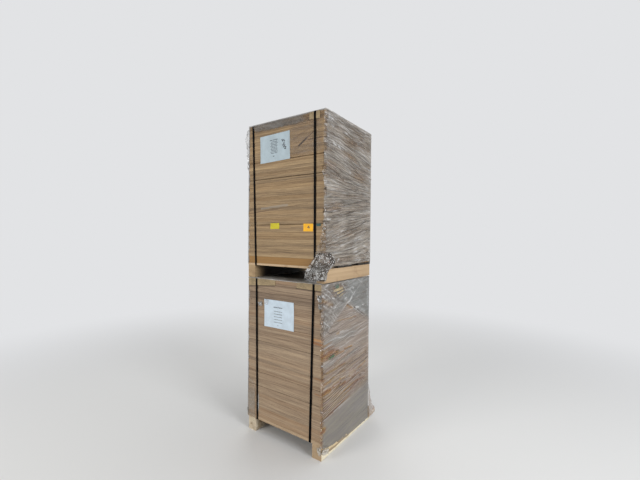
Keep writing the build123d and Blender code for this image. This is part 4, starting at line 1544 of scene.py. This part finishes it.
def lower_right_state(s, z):
    """Torn on the lip. Tight on the skirt and in the smooth bands, and half so elsewhere."""
    y = side_depth(lower_wrap, s)
    calm = smooth(0.58, 0.62, z - 0.06 * y) * smooth(roof_height(y), roof_height(y) - 0.02, z)
    skirt = smooth(0.34, 0.22, z - 0.1 * y)
    over = smooth(-0.03, 0.05, z - roof_height(y))
    tight = np.maximum.reduce([skirt, 0.8 * calm, 0.55 + 0 * z])
    cool = over * (0.35 + 0.35 * smooth(0.1, 0.35, y))
    bands = np.maximum(beside(z - 0.805, 0.035), 0.9 * beside(z - 0.64, 0.025)) * smooth(0.6, 0.4, y)
    return torn_here(lower_wrap, s, z), tight, np.maximum.reduce([0.85 * skirt, cool, 0.45 * bands])


lower_right_film = build_wall(
    "lower_right_film",
    lower_wrap,
    right_columns(lower_wrap, fine_step, lambda z: jagged(z, 0.002, 0.02, 47)),
    lower_right_hem,
    lower.cover - cover_seat,
    count(lower.cover, fine_step),
    lower_right_bulge,
    lower_right_haze,
    lambda s, z: (side_depth(lower_wrap, s), z - 0.09 * side_depth(lower_wrap, s)),
    lower_right_state,
    smooth_film,
    replaces=["lower_film"],
)
print("lower right film:", len(lower_right_film.data.polygons), "faces")

# %% [markdown]
# At the lower right rear the film hangs loose: a strip with the CAD film's profile, and soft
# noise for its waves.

# %% Loose corner of the lower film
corner_rows, corner_columns = 60, 30
v = np.linspace(0, 1, corner_rows)[:, None]
u = np.linspace(0, 1, corner_columns)[None, :]
corner_height = 0.014 + 0.286 * v
root_depth = lower.deep + back_gap - 0.004
tip_heights = (0.014, 0.05, 0.105, 0.19, 0.3)
tip_depths = (0.8, 0.802, 0.752, 0.715, root_depth + 0.001)
tip_depth = np.interp(corner_height, tip_heights, tip_depths)
y = root_depth + (tip_depth - root_depth) * u
z = corner_height + 0.012 * u * (1 - v) + 0.004 * noise(u * 5, v * 12, 95)
x = film_gap + 0.006 + 0.006 * noise(u * 3, v * 7, 96) * u + 0.004 * ridges(u * 4 + v * 3, v * 9, 97)
loose_corner = add_piece(
    "loose_film_corner",
    lower.world(np.stack([x, y, z], axis=-1)),
    grid_faces(corner_rows, corner_columns),
    smooth_film,
    replaces=["lower_film"],
)
corner_looks = (0.72 + 0 * z, ridges(u * 4, v * 9, 98) ** 4 * 0.5, 0 * z)
corner_state = (0.5 * smooth(0.6, 1.0, u), 0.7, 0)
finish_film(loose_corner, corner_looks, (y, z), corner_state, 0.5 * smooth(0.28, 0.05, v))
print(f"loose corner: {tip_depth.max() - root_depth:.3f} m wide")

# %% [markdown]
# The camera doesn't see these walls, so they are plainer: the same folds on a coarser grid.
# Only the left wall ends in a torn lip, round the front corner.

# %% Left and back walls
film_hems = {"upper": upper_hem, "lower": 0.108}
wall_step = 0.0055


def left_lip(wrap, s):
    """1 on the torn lip round the front left corner, 0 on the wall behind it."""
    return smooth(wrap.left_front, wrap.left_front - 0.006, s)


def plain_map(wrap, y, z):
    """Map of the left and back walls: the upper pack's fan, and a gentle slope below it."""
    return fan(y, z) if wrap is upper_wrap else (y, z - 0.07 * y)


def plain_haze(wrap, y, z, lip):
    """A haze that varies from place to place, and warmer spots. It is thinner on the lip in
    front, but not at the foot of the lower pack."""
    u, v = plain_map(wrap, y, z)
    foot = smooth(0.36, 0.27, z) * (1 - 0.5 * smooth(0.2, 0.14, z))
    lines, _ = wrinkles(u, v, 0.03, 66)
    warmth = 0.5 * lines * smooth(0.2, 0.6, noise(u / 0.2, v / 0.06, 67)) * (1 - lip)
    return 0.68 + 0.12 * noise(u / 0.25, v / 0.04, 50) - (0.56 - 0.44 * foot) * lip, warmth


def left_columns(wrap, step, lip_width):
    """Lengths along the path from the torn left lip to the rear corner, for each height."""
    main = np.linspace(wrap.left_front, wrap.left_back, count(wrap.left_back - wrap.left_front, step))
    lip_share = np.linspace(1, 0, 9)[:-1]

    def columns(z):
        lip = wrap.left_front - lip_share * lip_width(z)
        return np.concatenate([lip, main + 0 * z], axis=1)

    return columns


def lower_flare(s, z):
    """The left hem of the lower film kicks out above the bearer."""
    at_side = smooth(lower_wrap.left_front - 0.004, lower_wrap.left_front + 0.02, s)
    at_side = at_side * smooth(lower_wrap.left_back, lower_wrap.left_back - 0.1, s)
    return 0.024 * at_side * np.exp(-(((z - 0.142) / 0.026) ** 2))


def no_flare(s, z):
    """A hem that hangs straight."""
    return 0 * s * z


def upper_left_width(z):
    """Width of the upper pack's torn lip on the left."""
    return jagged(z, 0.003, 0.02, 51)


def lower_left_width(z):
    """The same for the lower pack, with a broad flap at its foot."""
    return jagged(z, 0.003, 0.018, 52) + 0.075 * smooth(0.44, 0.36, z)


def back_columns(wrap, step):
    """Lengths along the path across the back, the same at each height."""
    back_count = count(wrap.right_back - wrap.left_back, step)
    main = np.linspace(wrap.left_back, wrap.right_back, back_count)
    return lambda z: main + 0 * z


def build_plain_wall(wrap, side, start, end, columns, flare):
    """A left or back wall between two lengths along the path. Only a left wall has a lip.
    flare(s, z) is how far the hem kicks out."""
    hem = film_hems[wrap.pack.name]

    def lip(s):
        return left_lip(wrap, s) if side == "left" else 0 * s

    def bulge(s, z):
        u, v = plain_map(wrap, s - start, z)
        out, fold, crease = film_folds(u, v, 53 + len(side), 0.0038, 0.021)
        tame = smooth(0, 0.02, np.minimum(s - start, end - s)) * (1 - lip(s))
        return out * tame + flare(s, z), 0.4 * fold * tame, 0.6 * crease * tame

    return build_wall(
        f"{wrap.pack.name}_{side}_film",
        wrap,
        columns,
        lambda s: hem + 0.006 * noise(s / 0.07, 0.5, 54),
        wrap.pack.cover - cover_seat,
        count(wrap.pack.cover - hem, wall_step),
        bulge,
        lambda s, z: plain_haze(wrap, s - start, z, lip(s)),
        lambda s, z: plain_map(wrap, s - start, z),
        lambda s, z: (0.3 * lip(s), np.maximum(lip(s), 0.4), 0),
        wall_film,
    )


for wrap, lip_width, flare in (
    (upper_wrap, upper_left_width, no_flare),
    (lower_wrap, lower_left_width, lower_flare),
):
    for side, start, end, columns in (
        ("left", wrap.left_front, wrap.left_back, left_columns(wrap, wall_step, lip_width)),
        ("back", wrap.left_back, wrap.right_back, back_columns(wrap, wall_step)),
    ):
        wall = build_plain_wall(wrap, side, start, end, columns, flare)
        print(f"{wall.name}: {len(wall.data.polygons)} faces")

# %% [markdown]
# The top of each pack is covered by the same film, folded over its front edge. The sheet's
# grid runs past the front edge of the load, and what runs past it is turned down: the
# overshoot in depth becomes a drop in height.

# %% Top sheets
sheet_stand = 0.0018


def pocket_shade_mask(x, y):
    """1 deep in the fork pocket, where the film over the lower pack takes a near-black painted shade."""
    deep_in = np.minimum(y, lower.deep - y)
    return smooth(0.08, 0.19, deep_in) * smooth(0.05, 0.12, -x) * smooth(0.05, 0.12, x + lower.wide)


def build_top(pack, lap, material):
    """The film over a pack's top. lap(x) is how far it comes down in front at each place."""
    left, right = -pack.wide - film_gap, film_gap
    front, back = -front_gap - sheet_stand, pack.deep + back_gap
    across = np.linspace(left, right, count(right - left, coarse_step))
    depth = np.linspace(front, back, count(back - front, coarse_step))
    drop_rows = 12
    over = np.linspace(1, 0, drop_rows, endpoint=False)
    b_share = np.concatenate([-over, 0 * depth])
    b_main = np.concatenate([np.full(drop_rows, front), depth])
    x = across[None, :] + 0 * b_main[:, None]
    y = b_main[:, None] + 0 * x
    fall = np.clip(-b_share, 0, None)[:, None] * lap(x)
    along = y - fall
    broad, broad_line = facets(x, along, 0.16, 60)
    small, small_line = facets(x, along, 0.05, 61)
    crumple = 0.7 * broad + 0.3 * small
    rim = np.minimum.reduce([x - left, right - x, y - front, back - y])
    flat = smooth(0.0, 0.03, rim)
    z = pack.cover - cover_seat + 0.007 * flat * crumple - fall
    y = y - (fall > 0) * 0.0035 * crumple * smooth(0.0, 0.01, fall)
    points = np.stack([x, y, z], axis=-1)
    faces = grid_faces(*x.shape)
    piece = add_piece(f"{pack.name}_top_film", pack.world(points), faces, material)
    on_lap = smooth(0.0, 0.004, fall)
    shaded = on_lap if pack is upper else pocket_shade_mask(x, y)
    haze = 0.62 + 0.14 * noise(x / 0.15, along / 0.12, 62) - 0.04 * on_lap
    haze = haze * smooth(-1.0, -0.75, b_share)[:, None] * (1 - on_lap * smooth(-0.26, -0.15, x))
    pale = np.maximum(0.6 * broad_line, 0.4 * small_line) * (1 - (0.6 if pack is upper else 1.0) * shaded)
    _, dent_line = facets(x, along, 0.09, 68)
    looks = (haze, pale, 0.35 * dent_line * (1 - on_lap))
    finish_film(piece, looks, (x, along), (0.5 * on_lap * small_line, 0.85, shaded))
    print(f"{pack.name} top film: {len(faces)} faces")
    return piece


def upper_lap(x):
    """Depth of the lap on the upper pack: ragged, from the left strap to the protector."""
    middle = smooth(-0.7, -0.66, x) * smooth(-0.13, -0.17, x)
    return middle * (0.07 + 0.014 * noise(x / 0.07, 0.5, 63) + 0.006 * noise(x / 0.015, 0.5, 64))


build_top(upper, upper_lap, top_film)
build_top(lower, lambda x: 0.006 + 0.003 * noise(x / 0.05, 0.5, 65), pocket_film)

# %% [markdown]
# ## Torn tuft and tail
#
# At the front right corner the torn film is gathered into a tuft that hangs over the fork
# pocket. It is two sheets of the same crumpled surface, one inside the other: round the
# corner in one direction, down in the other, and pushed out by deep sharp folds.

# %% Tuft
tuft_rows, tuft_columns = 130, 150
reach_shape = (0, 0.2, 0.4, 0.55, 0.72, 0.9, 1), (0.05, 0.09, 0.12, 0.137, 0.158, 0.168, 0.135)
side_shape = (0, 0.2, 0.4, 0.55, 0.7, 0.9, 1), (0.056, 0.118, 0.12, 0.05, 0.012, 0.006, 0.004)
bulge_shape = (0, 0.2, 0.4, 0.7, 0.9, 1), (0.006, 0.015, 0.022, 0.034, 0.028, 0.01)


def build_tuft(name, seed, squeeze, replaces=()):
    """A gathered sheet. u runs from its left end round the corner to the side, v downwards."""
    u = np.linspace(0, 1, tuft_columns)[None, :]
    v = np.linspace(0, 1, tuft_rows)[:, None]
    height = 0.112 - 0.192 * v
    reach = np.interp(v, *reach_shape) * squeeze
    round_side = np.interp(v, *side_shape)
    bulge = np.interp(v, *bulge_shape) * squeeze
    corner = reach / (reach + round_side)
    on_front = u < corner
    front_x = -reach * (1 - u / corner)
    side_y = round_side * (u - corner) / (1 - corner)
    x = np.where(on_front, front_x, 0.0) + 0.004
    y = np.where(on_front, 0.0, side_y) - 0.007
    out_x = np.where(on_front, smooth(0.75, 1.0, u / corner), 1.0)
    out_y = np.where(on_front, -1.0, -1.0 + smooth(corner, corner + 0.15 * (1 - corner), u))
    hump = np.sin(np.pi * np.clip(u, 0, 1)) ** 0.6
    folds = ridges(u * 7 + 1.5 * noise(u * 3, v * 3, seed), v * 1.6, seed + 1)
    broad, broad_line = facets(0.25 * u, 0.19 * v, 0.045, seed + 2)
    small, small_line = facets(0.25 * u, 0.19 * v, 0.025, seed + 5)
    out = bulge * (0.3 + 0.7 * hump) + hump * (0.014 * folds + 0.02 * broad + 0.007 * small)
    z = upper.deck + height + 0.006 * broad
    points = upper.world(np.stack([x + out_x * out, y + out_y * out, z], axis=-1))
    faces = grid_faces(tuft_rows, tuft_columns)
    piece = add_piece(name, points, faces, torn_film, replaces=replaces)
    haze = 0.58 + 0.45 * noise(u * 9, v * 6, seed + 3)
    # Dark patches and pale ridges: painted shade and painted highlights on the tuft.
    dark = smooth(0.0, 0.4, noise(u * 11, v * 8, seed + 4)) * (0.7 + 0.3 * small_line)
    pale = np.maximum(broad_line, 0.75 * small_line) * smooth(-0.3, 0.3, noise(u * 11, v * 9, seed + 7))
    looks = (np.clip(haze, 0.15, 0.9), pale, dark)
    tension = (v * 0.19 + 0 * u, u * 0.25 + 0 * v)
    finish_film(piece, looks, tension, (0.8, 0, 0), 0.35 * smooth(0.65, 0.25, v))
    print(f"{name}: {len(faces)} faces")
    return piece


build_tuft("torn_film_tuft", 70, 1.0, replaces=["upper_film_tuft"])
build_tuft("torn_film_tuft_inner", 80, 0.82)

# %% [markdown]
# At the top left edge a narrow strip of film is torn loose. Its width follows a few measured
# places, and ridges of noise crumple it.

# %% Tail
tail_rows, tail_columns = 110, 18
v = np.linspace(0, 1, tail_rows)[:, None]
u = np.linspace(0, 1, tail_columns)[None, :]
tail_out = np.interp(v, (0, 0.05, 0.21, 0.48, 0.74, 1), (0.004, 0.034, 0.05, 0.036, 0.015, 0.003))
tail_out = tail_out * (0.8 + 0.25 * noise(v * 22, 0.5, 90))
x = -upper.wide - film_gap - tail_out * u
y = -front_gap + 0.01 * noise(u * 3, v * 14, 91) * u + 0.006 * ridges(u * 4, v * 20, 92)
z = upper.top - 0.024 - 0.32 * v + 0.006 * noise(u * 4, v * 12, 93)
tail = add_piece(
    "torn_film_tail",
    upper.world(np.stack([x, y + 0 * x, z + 0 * x], axis=-1)),
    grid_faces(tail_rows, tail_columns),
    torn_film,
    replaces=["upper_film_tail"],
)
tail_haze = 0.32 + 0.2 * noise(u * 4, v * 15, 94)
tail_looks = (tail_haze, ridges(u * 4, v * 26, 99) ** 4, ridges(u * 3, v * 20, 101) ** 5)
finish_film(tail, tail_looks, (v * 0.32 + 0 * u, u * 0.05 + 0 * v), (1.0, 0, 0))
print(f"tail: {tail_out.max():.3f} m wide")

# %% [markdown]
# ## Labels and stickers
#
# Each pack has a printed sheet taped to its front. The paper is a grid that lifts a little
# at its corners. Its print is only generic rows of short dark bars. They are small patches
# worked out on the same curved surface as the paper, a tenth of a millimetre above it.

# %% Paper materials
def plain_paper(name, shade, roughness=0.6):
    """Paper with a faint cloudiness."""
    material, tree, shader = new_material(name)
    where = object_place(tree)
    cloud = noise_value(tree, where, 18.0, 4.0, 0.6)
    darker = tuple(part * 0.86 for part in shade[:3]) + (1.0,)
    shade = mix_colours(tree, remap(tree, cloud, 0.35, 0.7), darker, shade)
    tree.links.new(shade, shader.inputs["Base Color"])
    shader.inputs["Roughness"].default_value = roughness
    link_bump(tree, shader, noise_value(tree, where, 240.0, 3.0, 0.6), 0.0002)
    return material


upper_paper = plain_paper("upper label paper", colour(177, 193, 201))
lower_paper = plain_paper("lower label paper", colour(206, 221, 233))
# The ink also colours the two dark strips of painted shadow under the scraps.
ink_and_shade = plain_paper("label ink", colour(44, 46, 52))
yellow_paper = plain_paper("yellow sticker", colour(204, 190, 8))
orange_paper = plain_paper("orange sticker", colour(252, 184, 2))
teal_paint = plain_paper("teal paint", colour(36, 76, 72))
green_paint = plain_paper("green paint", colour(52, 104, 66))
scrap_board = plain_paper("scrap board", colour(214, 190, 140))
splinter_wood = plain_paper("splinter wood", colour(222, 200, 160))
clear_tape = film_material("clear tape", colour(226, 234, 242), 2.0, 0.5, 0.0, 0.2)
veil_film = film_material("veil", colour(128, 112, 104), 2.0, 0.6, 0.5, 0.2)
pale_shred = film_material("pale shred", colour(226, 216, 196), 9.0, 0.6, 0.5, 0.3)
print("materials so far:", len(bpy.data.materials))


# %% Sheets
class Sheet:
    """A sheet on the front or the right side of a pack. Its centre is in the pack's axes."""

    def __init__(self, pack, centre, wide, tall, turn=0.0, curl=0.0, side="front", node=None):
        self.pack, self.centre, self.wide, self.tall = pack, centre, wide, tall
        self.turn, self.curl, self.side, self.node = math.radians(turn), curl, side, node

    def at(self, u, v, lift=0.0):
        """A point of the sheet: u to the right and v up, from 0 to 1. The corners lift."""
        across, up = (u - 0.5) * self.wide, (v - 0.5) * self.tall
        along = across * math.cos(self.turn) - up * math.sin(self.turn)
        z = self.centre[2] + across * math.sin(self.turn) + up * math.cos(self.turn)
        wave = np.abs(2 * u - 1) ** 4 * np.abs(2 * v - 1) ** 3 + 0.25 * noise(u * 3, v * 3, 100) ** 2
        stand = self.curl * wave + lift
        if self.side == "front":
            return np.stack([self.centre[0] + along, self.centre[1] - stand, z], axis=-1)
        return np.stack([self.centre[0] + stand, self.centre[1] + along, z], axis=-1)

    def build(self, name, material, slot, columns=40, rows=30, ragged=0.0, relief=0.0):
        """The sheet as a piece. ragged is how far its edge wanders, as a share of its size,
        and relief how far it is crumpled."""
        u, v = np.meshgrid(np.linspace(0, 1, columns), np.linspace(0, 1, rows))
        shift = ragged * noise(v * 6, u * 2, 110), 1.4 * ragged * noise(u * 9, v * 2, 111)
        crumple, ridge = facets(u * self.wide, v * self.tall, 0.011, 112)
        points = self.pack.world(self.at(u + shift[0], v + shift[1], relief * crumple))
        replaces = [self.node] if self.node else ()
        piece = add_piece(name, points, grid_faces(rows, columns), material, replaces=replaces)
        rim = np.minimum(np.minimum(u, 1 - u), np.minimum(v, 1 - v))
        return piece, u, v, smooth(0.0, 0.2, rim), ridge

    def build_film(self, name, material, haze, pale, torn=0.0, ragged=0.06, relief=0.0, holes=1.0):
        """The sheet as a piece of film. Its haze fades at the rim, and holes says how torn it is."""
        piece, u, v, inner, ridge = self.build(name, material, "stretch_film", 40, 30, ragged, relief)
        whole = 1 - holes * smooth(-0.2, -0.8, noise(u * 4, v * 4, 113))
        looks = (haze * inner * whole, pale * (0.3 + 0.7 * ridge), 0.5 * torn * smooth(0.2, 0.6, 1 - ridge))
        finish_film(piece, looks, (u * self.wide, v * self.tall), (torn, 0.5, 0))
        return piece

    def patches(self, name, boxes, material, slot):
        """Small patches (u0, u1, v0, v1) just above the sheet, as one piece."""
        boxes = np.array(boxes)
        u_share, v_share = np.meshgrid(np.linspace(0, 1, 4), np.linspace(0, 1, 3))
        u = boxes[:, 0, None, None] + (boxes[:, 1] - boxes[:, 0])[:, None, None] * u_share
        v = boxes[:, 2, None, None] + (boxes[:, 3] - boxes[:, 2])[:, None, None] * v_share
        points = self.pack.world(self.at(u, v, 0.00015))
        faces = np.concatenate([grid_faces(3, 4) + 12 * k for k in range(len(boxes))])
        return add_piece(name, points, faces, material)


def node_sheet(pack, node, wide, tall, turn, curl):
    """The sheet of a CAD node, at the node's place."""
    centre = pack.local(node_points(node)).mean(axis=0)
    return Sheet(pack, centre, wide, tall, turn, curl, node=node)


def print_rows(rows, seed):
    """Rows of short bars in place of words. A row is (centre u, v, half width, height)."""
    draw = np.random.default_rng(seed)
    boxes = []
    for middle, height, half, tall in rows:
        edge = middle - half
        while edge < middle + half:
            wide = draw.uniform(0.008, 0.028)
            boxes.append((edge, min(edge + wide, middle + half), height - tall / 2, height + tall / 2))
            edge += wide + draw.uniform(0.005, 0.012)
    return boxes


def scribble(sheet, name, start, end, sway, turns, wide, seed):
    """A pen line that sways across its way from start to end, as a narrow ribbon."""
    t = np.linspace(0, 1, 60)
    wander = sway * (np.sin(turns * 2 * np.pi * t) + 0.4 * noise(t * turns * 2, 0.5, seed))
    run = np.array(end) - np.array(start)
    side = np.array([-run[1], run[0]]) / np.hypot(*run)
    u = start[0] + run[0] * t + side[0] * wander
    v = start[1] + run[1] * t + side[1] * wander
    du, dv = np.gradient(u) * sheet.wide, np.gradient(v) * sheet.tall
    size = np.hypot(du, dv)
    half = wide / 2 * np.array([-1, 1])[:, None]
    line_u, line_v = u - half * dv / size / sheet.wide, v + half * du / size / sheet.tall
    points = sheet.pack.world(sheet.at(line_u, line_v, 0.0002))
    return add_piece(name, points, grid_faces(2, len(t)), ink_and_shade)


# %% [markdown]
# The sheets take their places from the CAD nodes. Rows of bars stand for words, and a swaying
# ribbon for a stroke of a pen.

# %% Labels and stickers
upper_sheet = node_sheet(upper, "upper_label", 0.297, 0.21, 1.5, 0.0015)
lower_sheet = node_sheet(lower, "lower_label", 0.297, 0.21, 0.5, 0.002)
upper_sheet.build("upper_label_paper", upper_paper, "paper")
lower_sheet.build("lower_label_paper", lower_paper, "paper")
upper_rows = [(0.47, 0.79, 0.13, 0.03)]
upper_rows += [(0.48, 0.725 - 0.052 * k, 0.1 + 0.02 * (k % 2), 0.026) for k in range(9)]
upper_rows += [(0.46, 0.2, 0.025, 0.03)]
lower_rows = [(0.48, 0.745, 0.15, 0.036)]
lower_rows += [(0.48, 0.6 - 0.098 * k, 0.14, 0.02) for k in range(5)]
lower_rows += [(0.47, 0.1, 0.015, 0.02)]
upper_sheet.patches("upper_label_print", print_rows(upper_rows, 7), ink_and_shade, "paper")
lower_sheet.patches("lower_label_print", print_rows(lower_rows, 9), ink_and_shade, "paper")
scribble(upper_sheet, "upper_label_pen_line", (0.73, 0.72), (0.84, 0.68), 0.035, 2.0, 0.005, 11)
scribble(upper_sheet, "upper_label_pen_line_2", (0.78, 0.6), (0.86, 0.38), 0.04, 3.0, 0.005, 12)
yellow = node_sheet(upper, "yellow_sticker", 0.09, 0.044, 0.0, 0.0015)
yellow.build("yellow_sticker_paper", yellow_paper, "yellow_paper", 12, 8)
orange = node_sheet(upper, "orange_sticker", 0.085, 0.055, -1.0, 0.002)
orange.build("orange_sticker_paper", orange_paper, "orange_paper", 12, 8)
scribble(orange, "orange_sticker_pen_line", (0.46, 0.66), (0.58, 0.4), 0.1, 1.5, 0.004, 13)
print("print rows:", len(upper_rows + lower_rows))

# %% [markdown]
# Small things that only the looks need: daubs of paint, scraps of board and bark caught
# under the film, two dark strips of painted shadow under the scraps, clear tape on a label,
# and shreds of film. Each is a sheet with a ragged edge at its own place on the front or the
# right side.

# %% Marks and scraps
teal = Sheet(upper, (-0.053, -0.0021, 1.631), 0.036, 0.018)
teal.build("teal_paint_mark", teal_paint, "paper", 30, 16, ragged=0.1)
side_stand = 0.0045
for name, depth, height, wide, tall, turn, material in (
    ("green_mark_high", 0.185, 1.19, 0.044, 0.03, 8, green_paint),
    ("green_mark_low", 0.112, 0.689, 0.08, 0.016, 6, green_paint),
    ("scrap_1", 0.2, 1.163, 0.13, 0.017, 4, scrap_board),
    ("scrap_2", 0.225, 1.141, 0.09, 0.013, 9, scrap_board),
    ("scrap_3", 0.235, 1.117, 0.06, 0.014, 16, scrap_board),
    ("splinter_1", 0.15, 0.046, 0.12, 0.017, -6, splinter_wood),
    ("splinter_2", 0.07, 0.058, 0.06, 0.014, -20, splinter_wood),
    ("splinter_3", 0.3, 0.04, 0.07, 0.01, -4, splinter_wood),
    # Two dark strips of ink colour: painted shadow under the scraps.
    ("scrap_shade_1", 0.21, 1.152, 0.12, 0.006, 6, ink_and_shade),
    ("scrap_shade_2", 0.225, 1.128, 0.08, 0.006, 12, ink_and_shade),
):
    mark = Sheet(lower, (side_stand, depth, height), wide, tall, turn, side="right")
    mark.build(name, material, "paper", 30, 12, ragged=0.1, relief=0.004)

tape = Sheet(lower, (-0.523, -0.0034, 1.04), 0.036, 0.046, -12)
tape.build_film("label_tape", clear_tape, 0.75, 0.9)
scrunch = Sheet(lower, (-0.59, -0.0012, 1.02), 0.048, 0.034, 12)
scrunch.build_film("film_scrunch", torn_film, 0.9, 1.0, torn=0.9, ragged=0.12, relief=0.008)
strip = Sheet(lower, (-0.609, -0.0012, 0.245), 0.016, 0.15, 1)
strip.build_film("film_strip", clear_tape, 0.5, 0.5)
veil = Sheet(upper, (-0.17, -0.0012, 2.27), 0.34, 0.3)
veil.build_film("front_veil", veil_film, 0.2, 0.0, holes=0.0)
for name, place, wide, tall, turn, side, relief in (
    ("hem_shred_1", (0.003, 0.04, 0.052), 0.09, 0.04, -18, "right", 0.016),
    ("hem_shred_2", (-0.01, -0.002, 0.07), 0.034, 0.06, 6, "front", 0.014),
    ("corner_shred_1", (-0.016, -0.003, 1.12), 0.036, 0.05, 8, "front", 0.012),
    ("corner_shred_2", (-0.014, -0.003, 1.065), 0.03, 0.036, -10, "front", 0.01),
):
    shred = Sheet(lower, place, wide, tall, turn, side=side)
    material = pale_shred if name.startswith("hem") else torn_film
    shred.build_film(name, material, 0.95, 0.9, torn=0.9, ragged=0.14, relief=relief)

# %% [markdown]
# ## Floor and light
#
# The floor is a plain pale plane. The light is soft: a bright sky all round and two large
# area lamps, one from the left and above and one from the right, at a level where a colour
# renders about as it is written.

# %% Floor
floor_half = 12.0
floor_mesh = bpy.data.meshes.new("floor")
floor_signs = ((-1, -1), (1, -1), (1, 1), (-1, 1))
floor_corners = [(x * floor_half, y * floor_half, 0) for x, y in floor_signs]
floor_mesh.from_pydata(floor_corners, [], [(0, 1, 2, 3)])
floor = bpy.data.objects.new("floor", floor_mesh)
scene.collection.objects.link(floor)
floor_material, tree, shader = new_material("pale floor")
shader.inputs["Base Color"].default_value = colour(222, 222, 220)
shader.inputs["Roughness"].default_value = 0.75
where = object_place(tree)
away = vector_maths(tree, "LENGTH", where)
ray = add_node(tree, "LightPath").outputs["Is Camera Ray"]
share = times(tree, remap(tree, away, 1.6, 5.5), ray)
glow = add_node(tree, "Emission", {"Color": colour(226, 227, 229), "Strength": 1.0})
blend = add_node(tree, "MixShader", {0: share, 1: shader.outputs[0], 2: glow.outputs[0]})
tree.links.new(blend.outputs[0], tree.nodes["Material Output"].inputs["Surface"])
floor_mesh.materials.append(floor_material)

# %% Light
world = bpy.data.worlds.new("studio")
scene.world = world
world.use_nodes = True
tree = world.node_tree
sky = tree.nodes["Background"]
sky.inputs["Color"].default_value = (0.93, 0.95, 1.0, 1.0)
sky.inputs["Strength"].default_value = 0.28
backdrop = add_node(tree, "Background", {"Color": colour(226, 227, 229), "Strength": 1.0})
rays = add_node(tree, "LightPath")
seen = maths(tree, "MAXIMUM", rays.outputs["Is Camera Ray"], rays.outputs["Is Glossy Ray"])
seen = maths(tree, "MAXIMUM", seen, rays.outputs["Is Transmission Ray"])
choice = add_node(tree, "MixShader", {0: seen, 1: sky.outputs[0], 2: backdrop.outputs[0]})
tree.links.new(choice.outputs[0], tree.nodes["World Output"].inputs["Surface"])


def area_lamp(name, place, aim, size, power, tint=(1, 1, 1)):
    """A square lamp at a place, turned towards a point."""
    data = bpy.data.lights.new(name, "AREA")
    data.size, data.energy, data.color = size, power, tint
    lamp = bpy.data.objects.new(name, data)
    lamp.location = place
    lamp.rotation_mode = "QUATERNION"
    lamp.rotation_quaternion = (Vector(aim) - Vector(place)).to_track_quat("-Z", "Y")
    scene.collection.objects.link(lamp)


area_lamp("key", (-2.4, -6.4, 2.6), (0, 0, 1.0), 2.6, 205, (1.0, 0.98, 0.95))
area_lamp("fill", (6.6, -1.4, 3.0), (0, 0, 1.1), 2.6, 300, (0.97, 0.98, 1.0))
area_lamp("overhead", (0.5, 0.8, 6.0), (0, 0, 0), 3.0, 110)
area_lamp("rear", (-4.6, 5.0, 3.4), (0, 0, 1.1), 4.2, 110)
scene.view_settings.view_transform = "Standard"
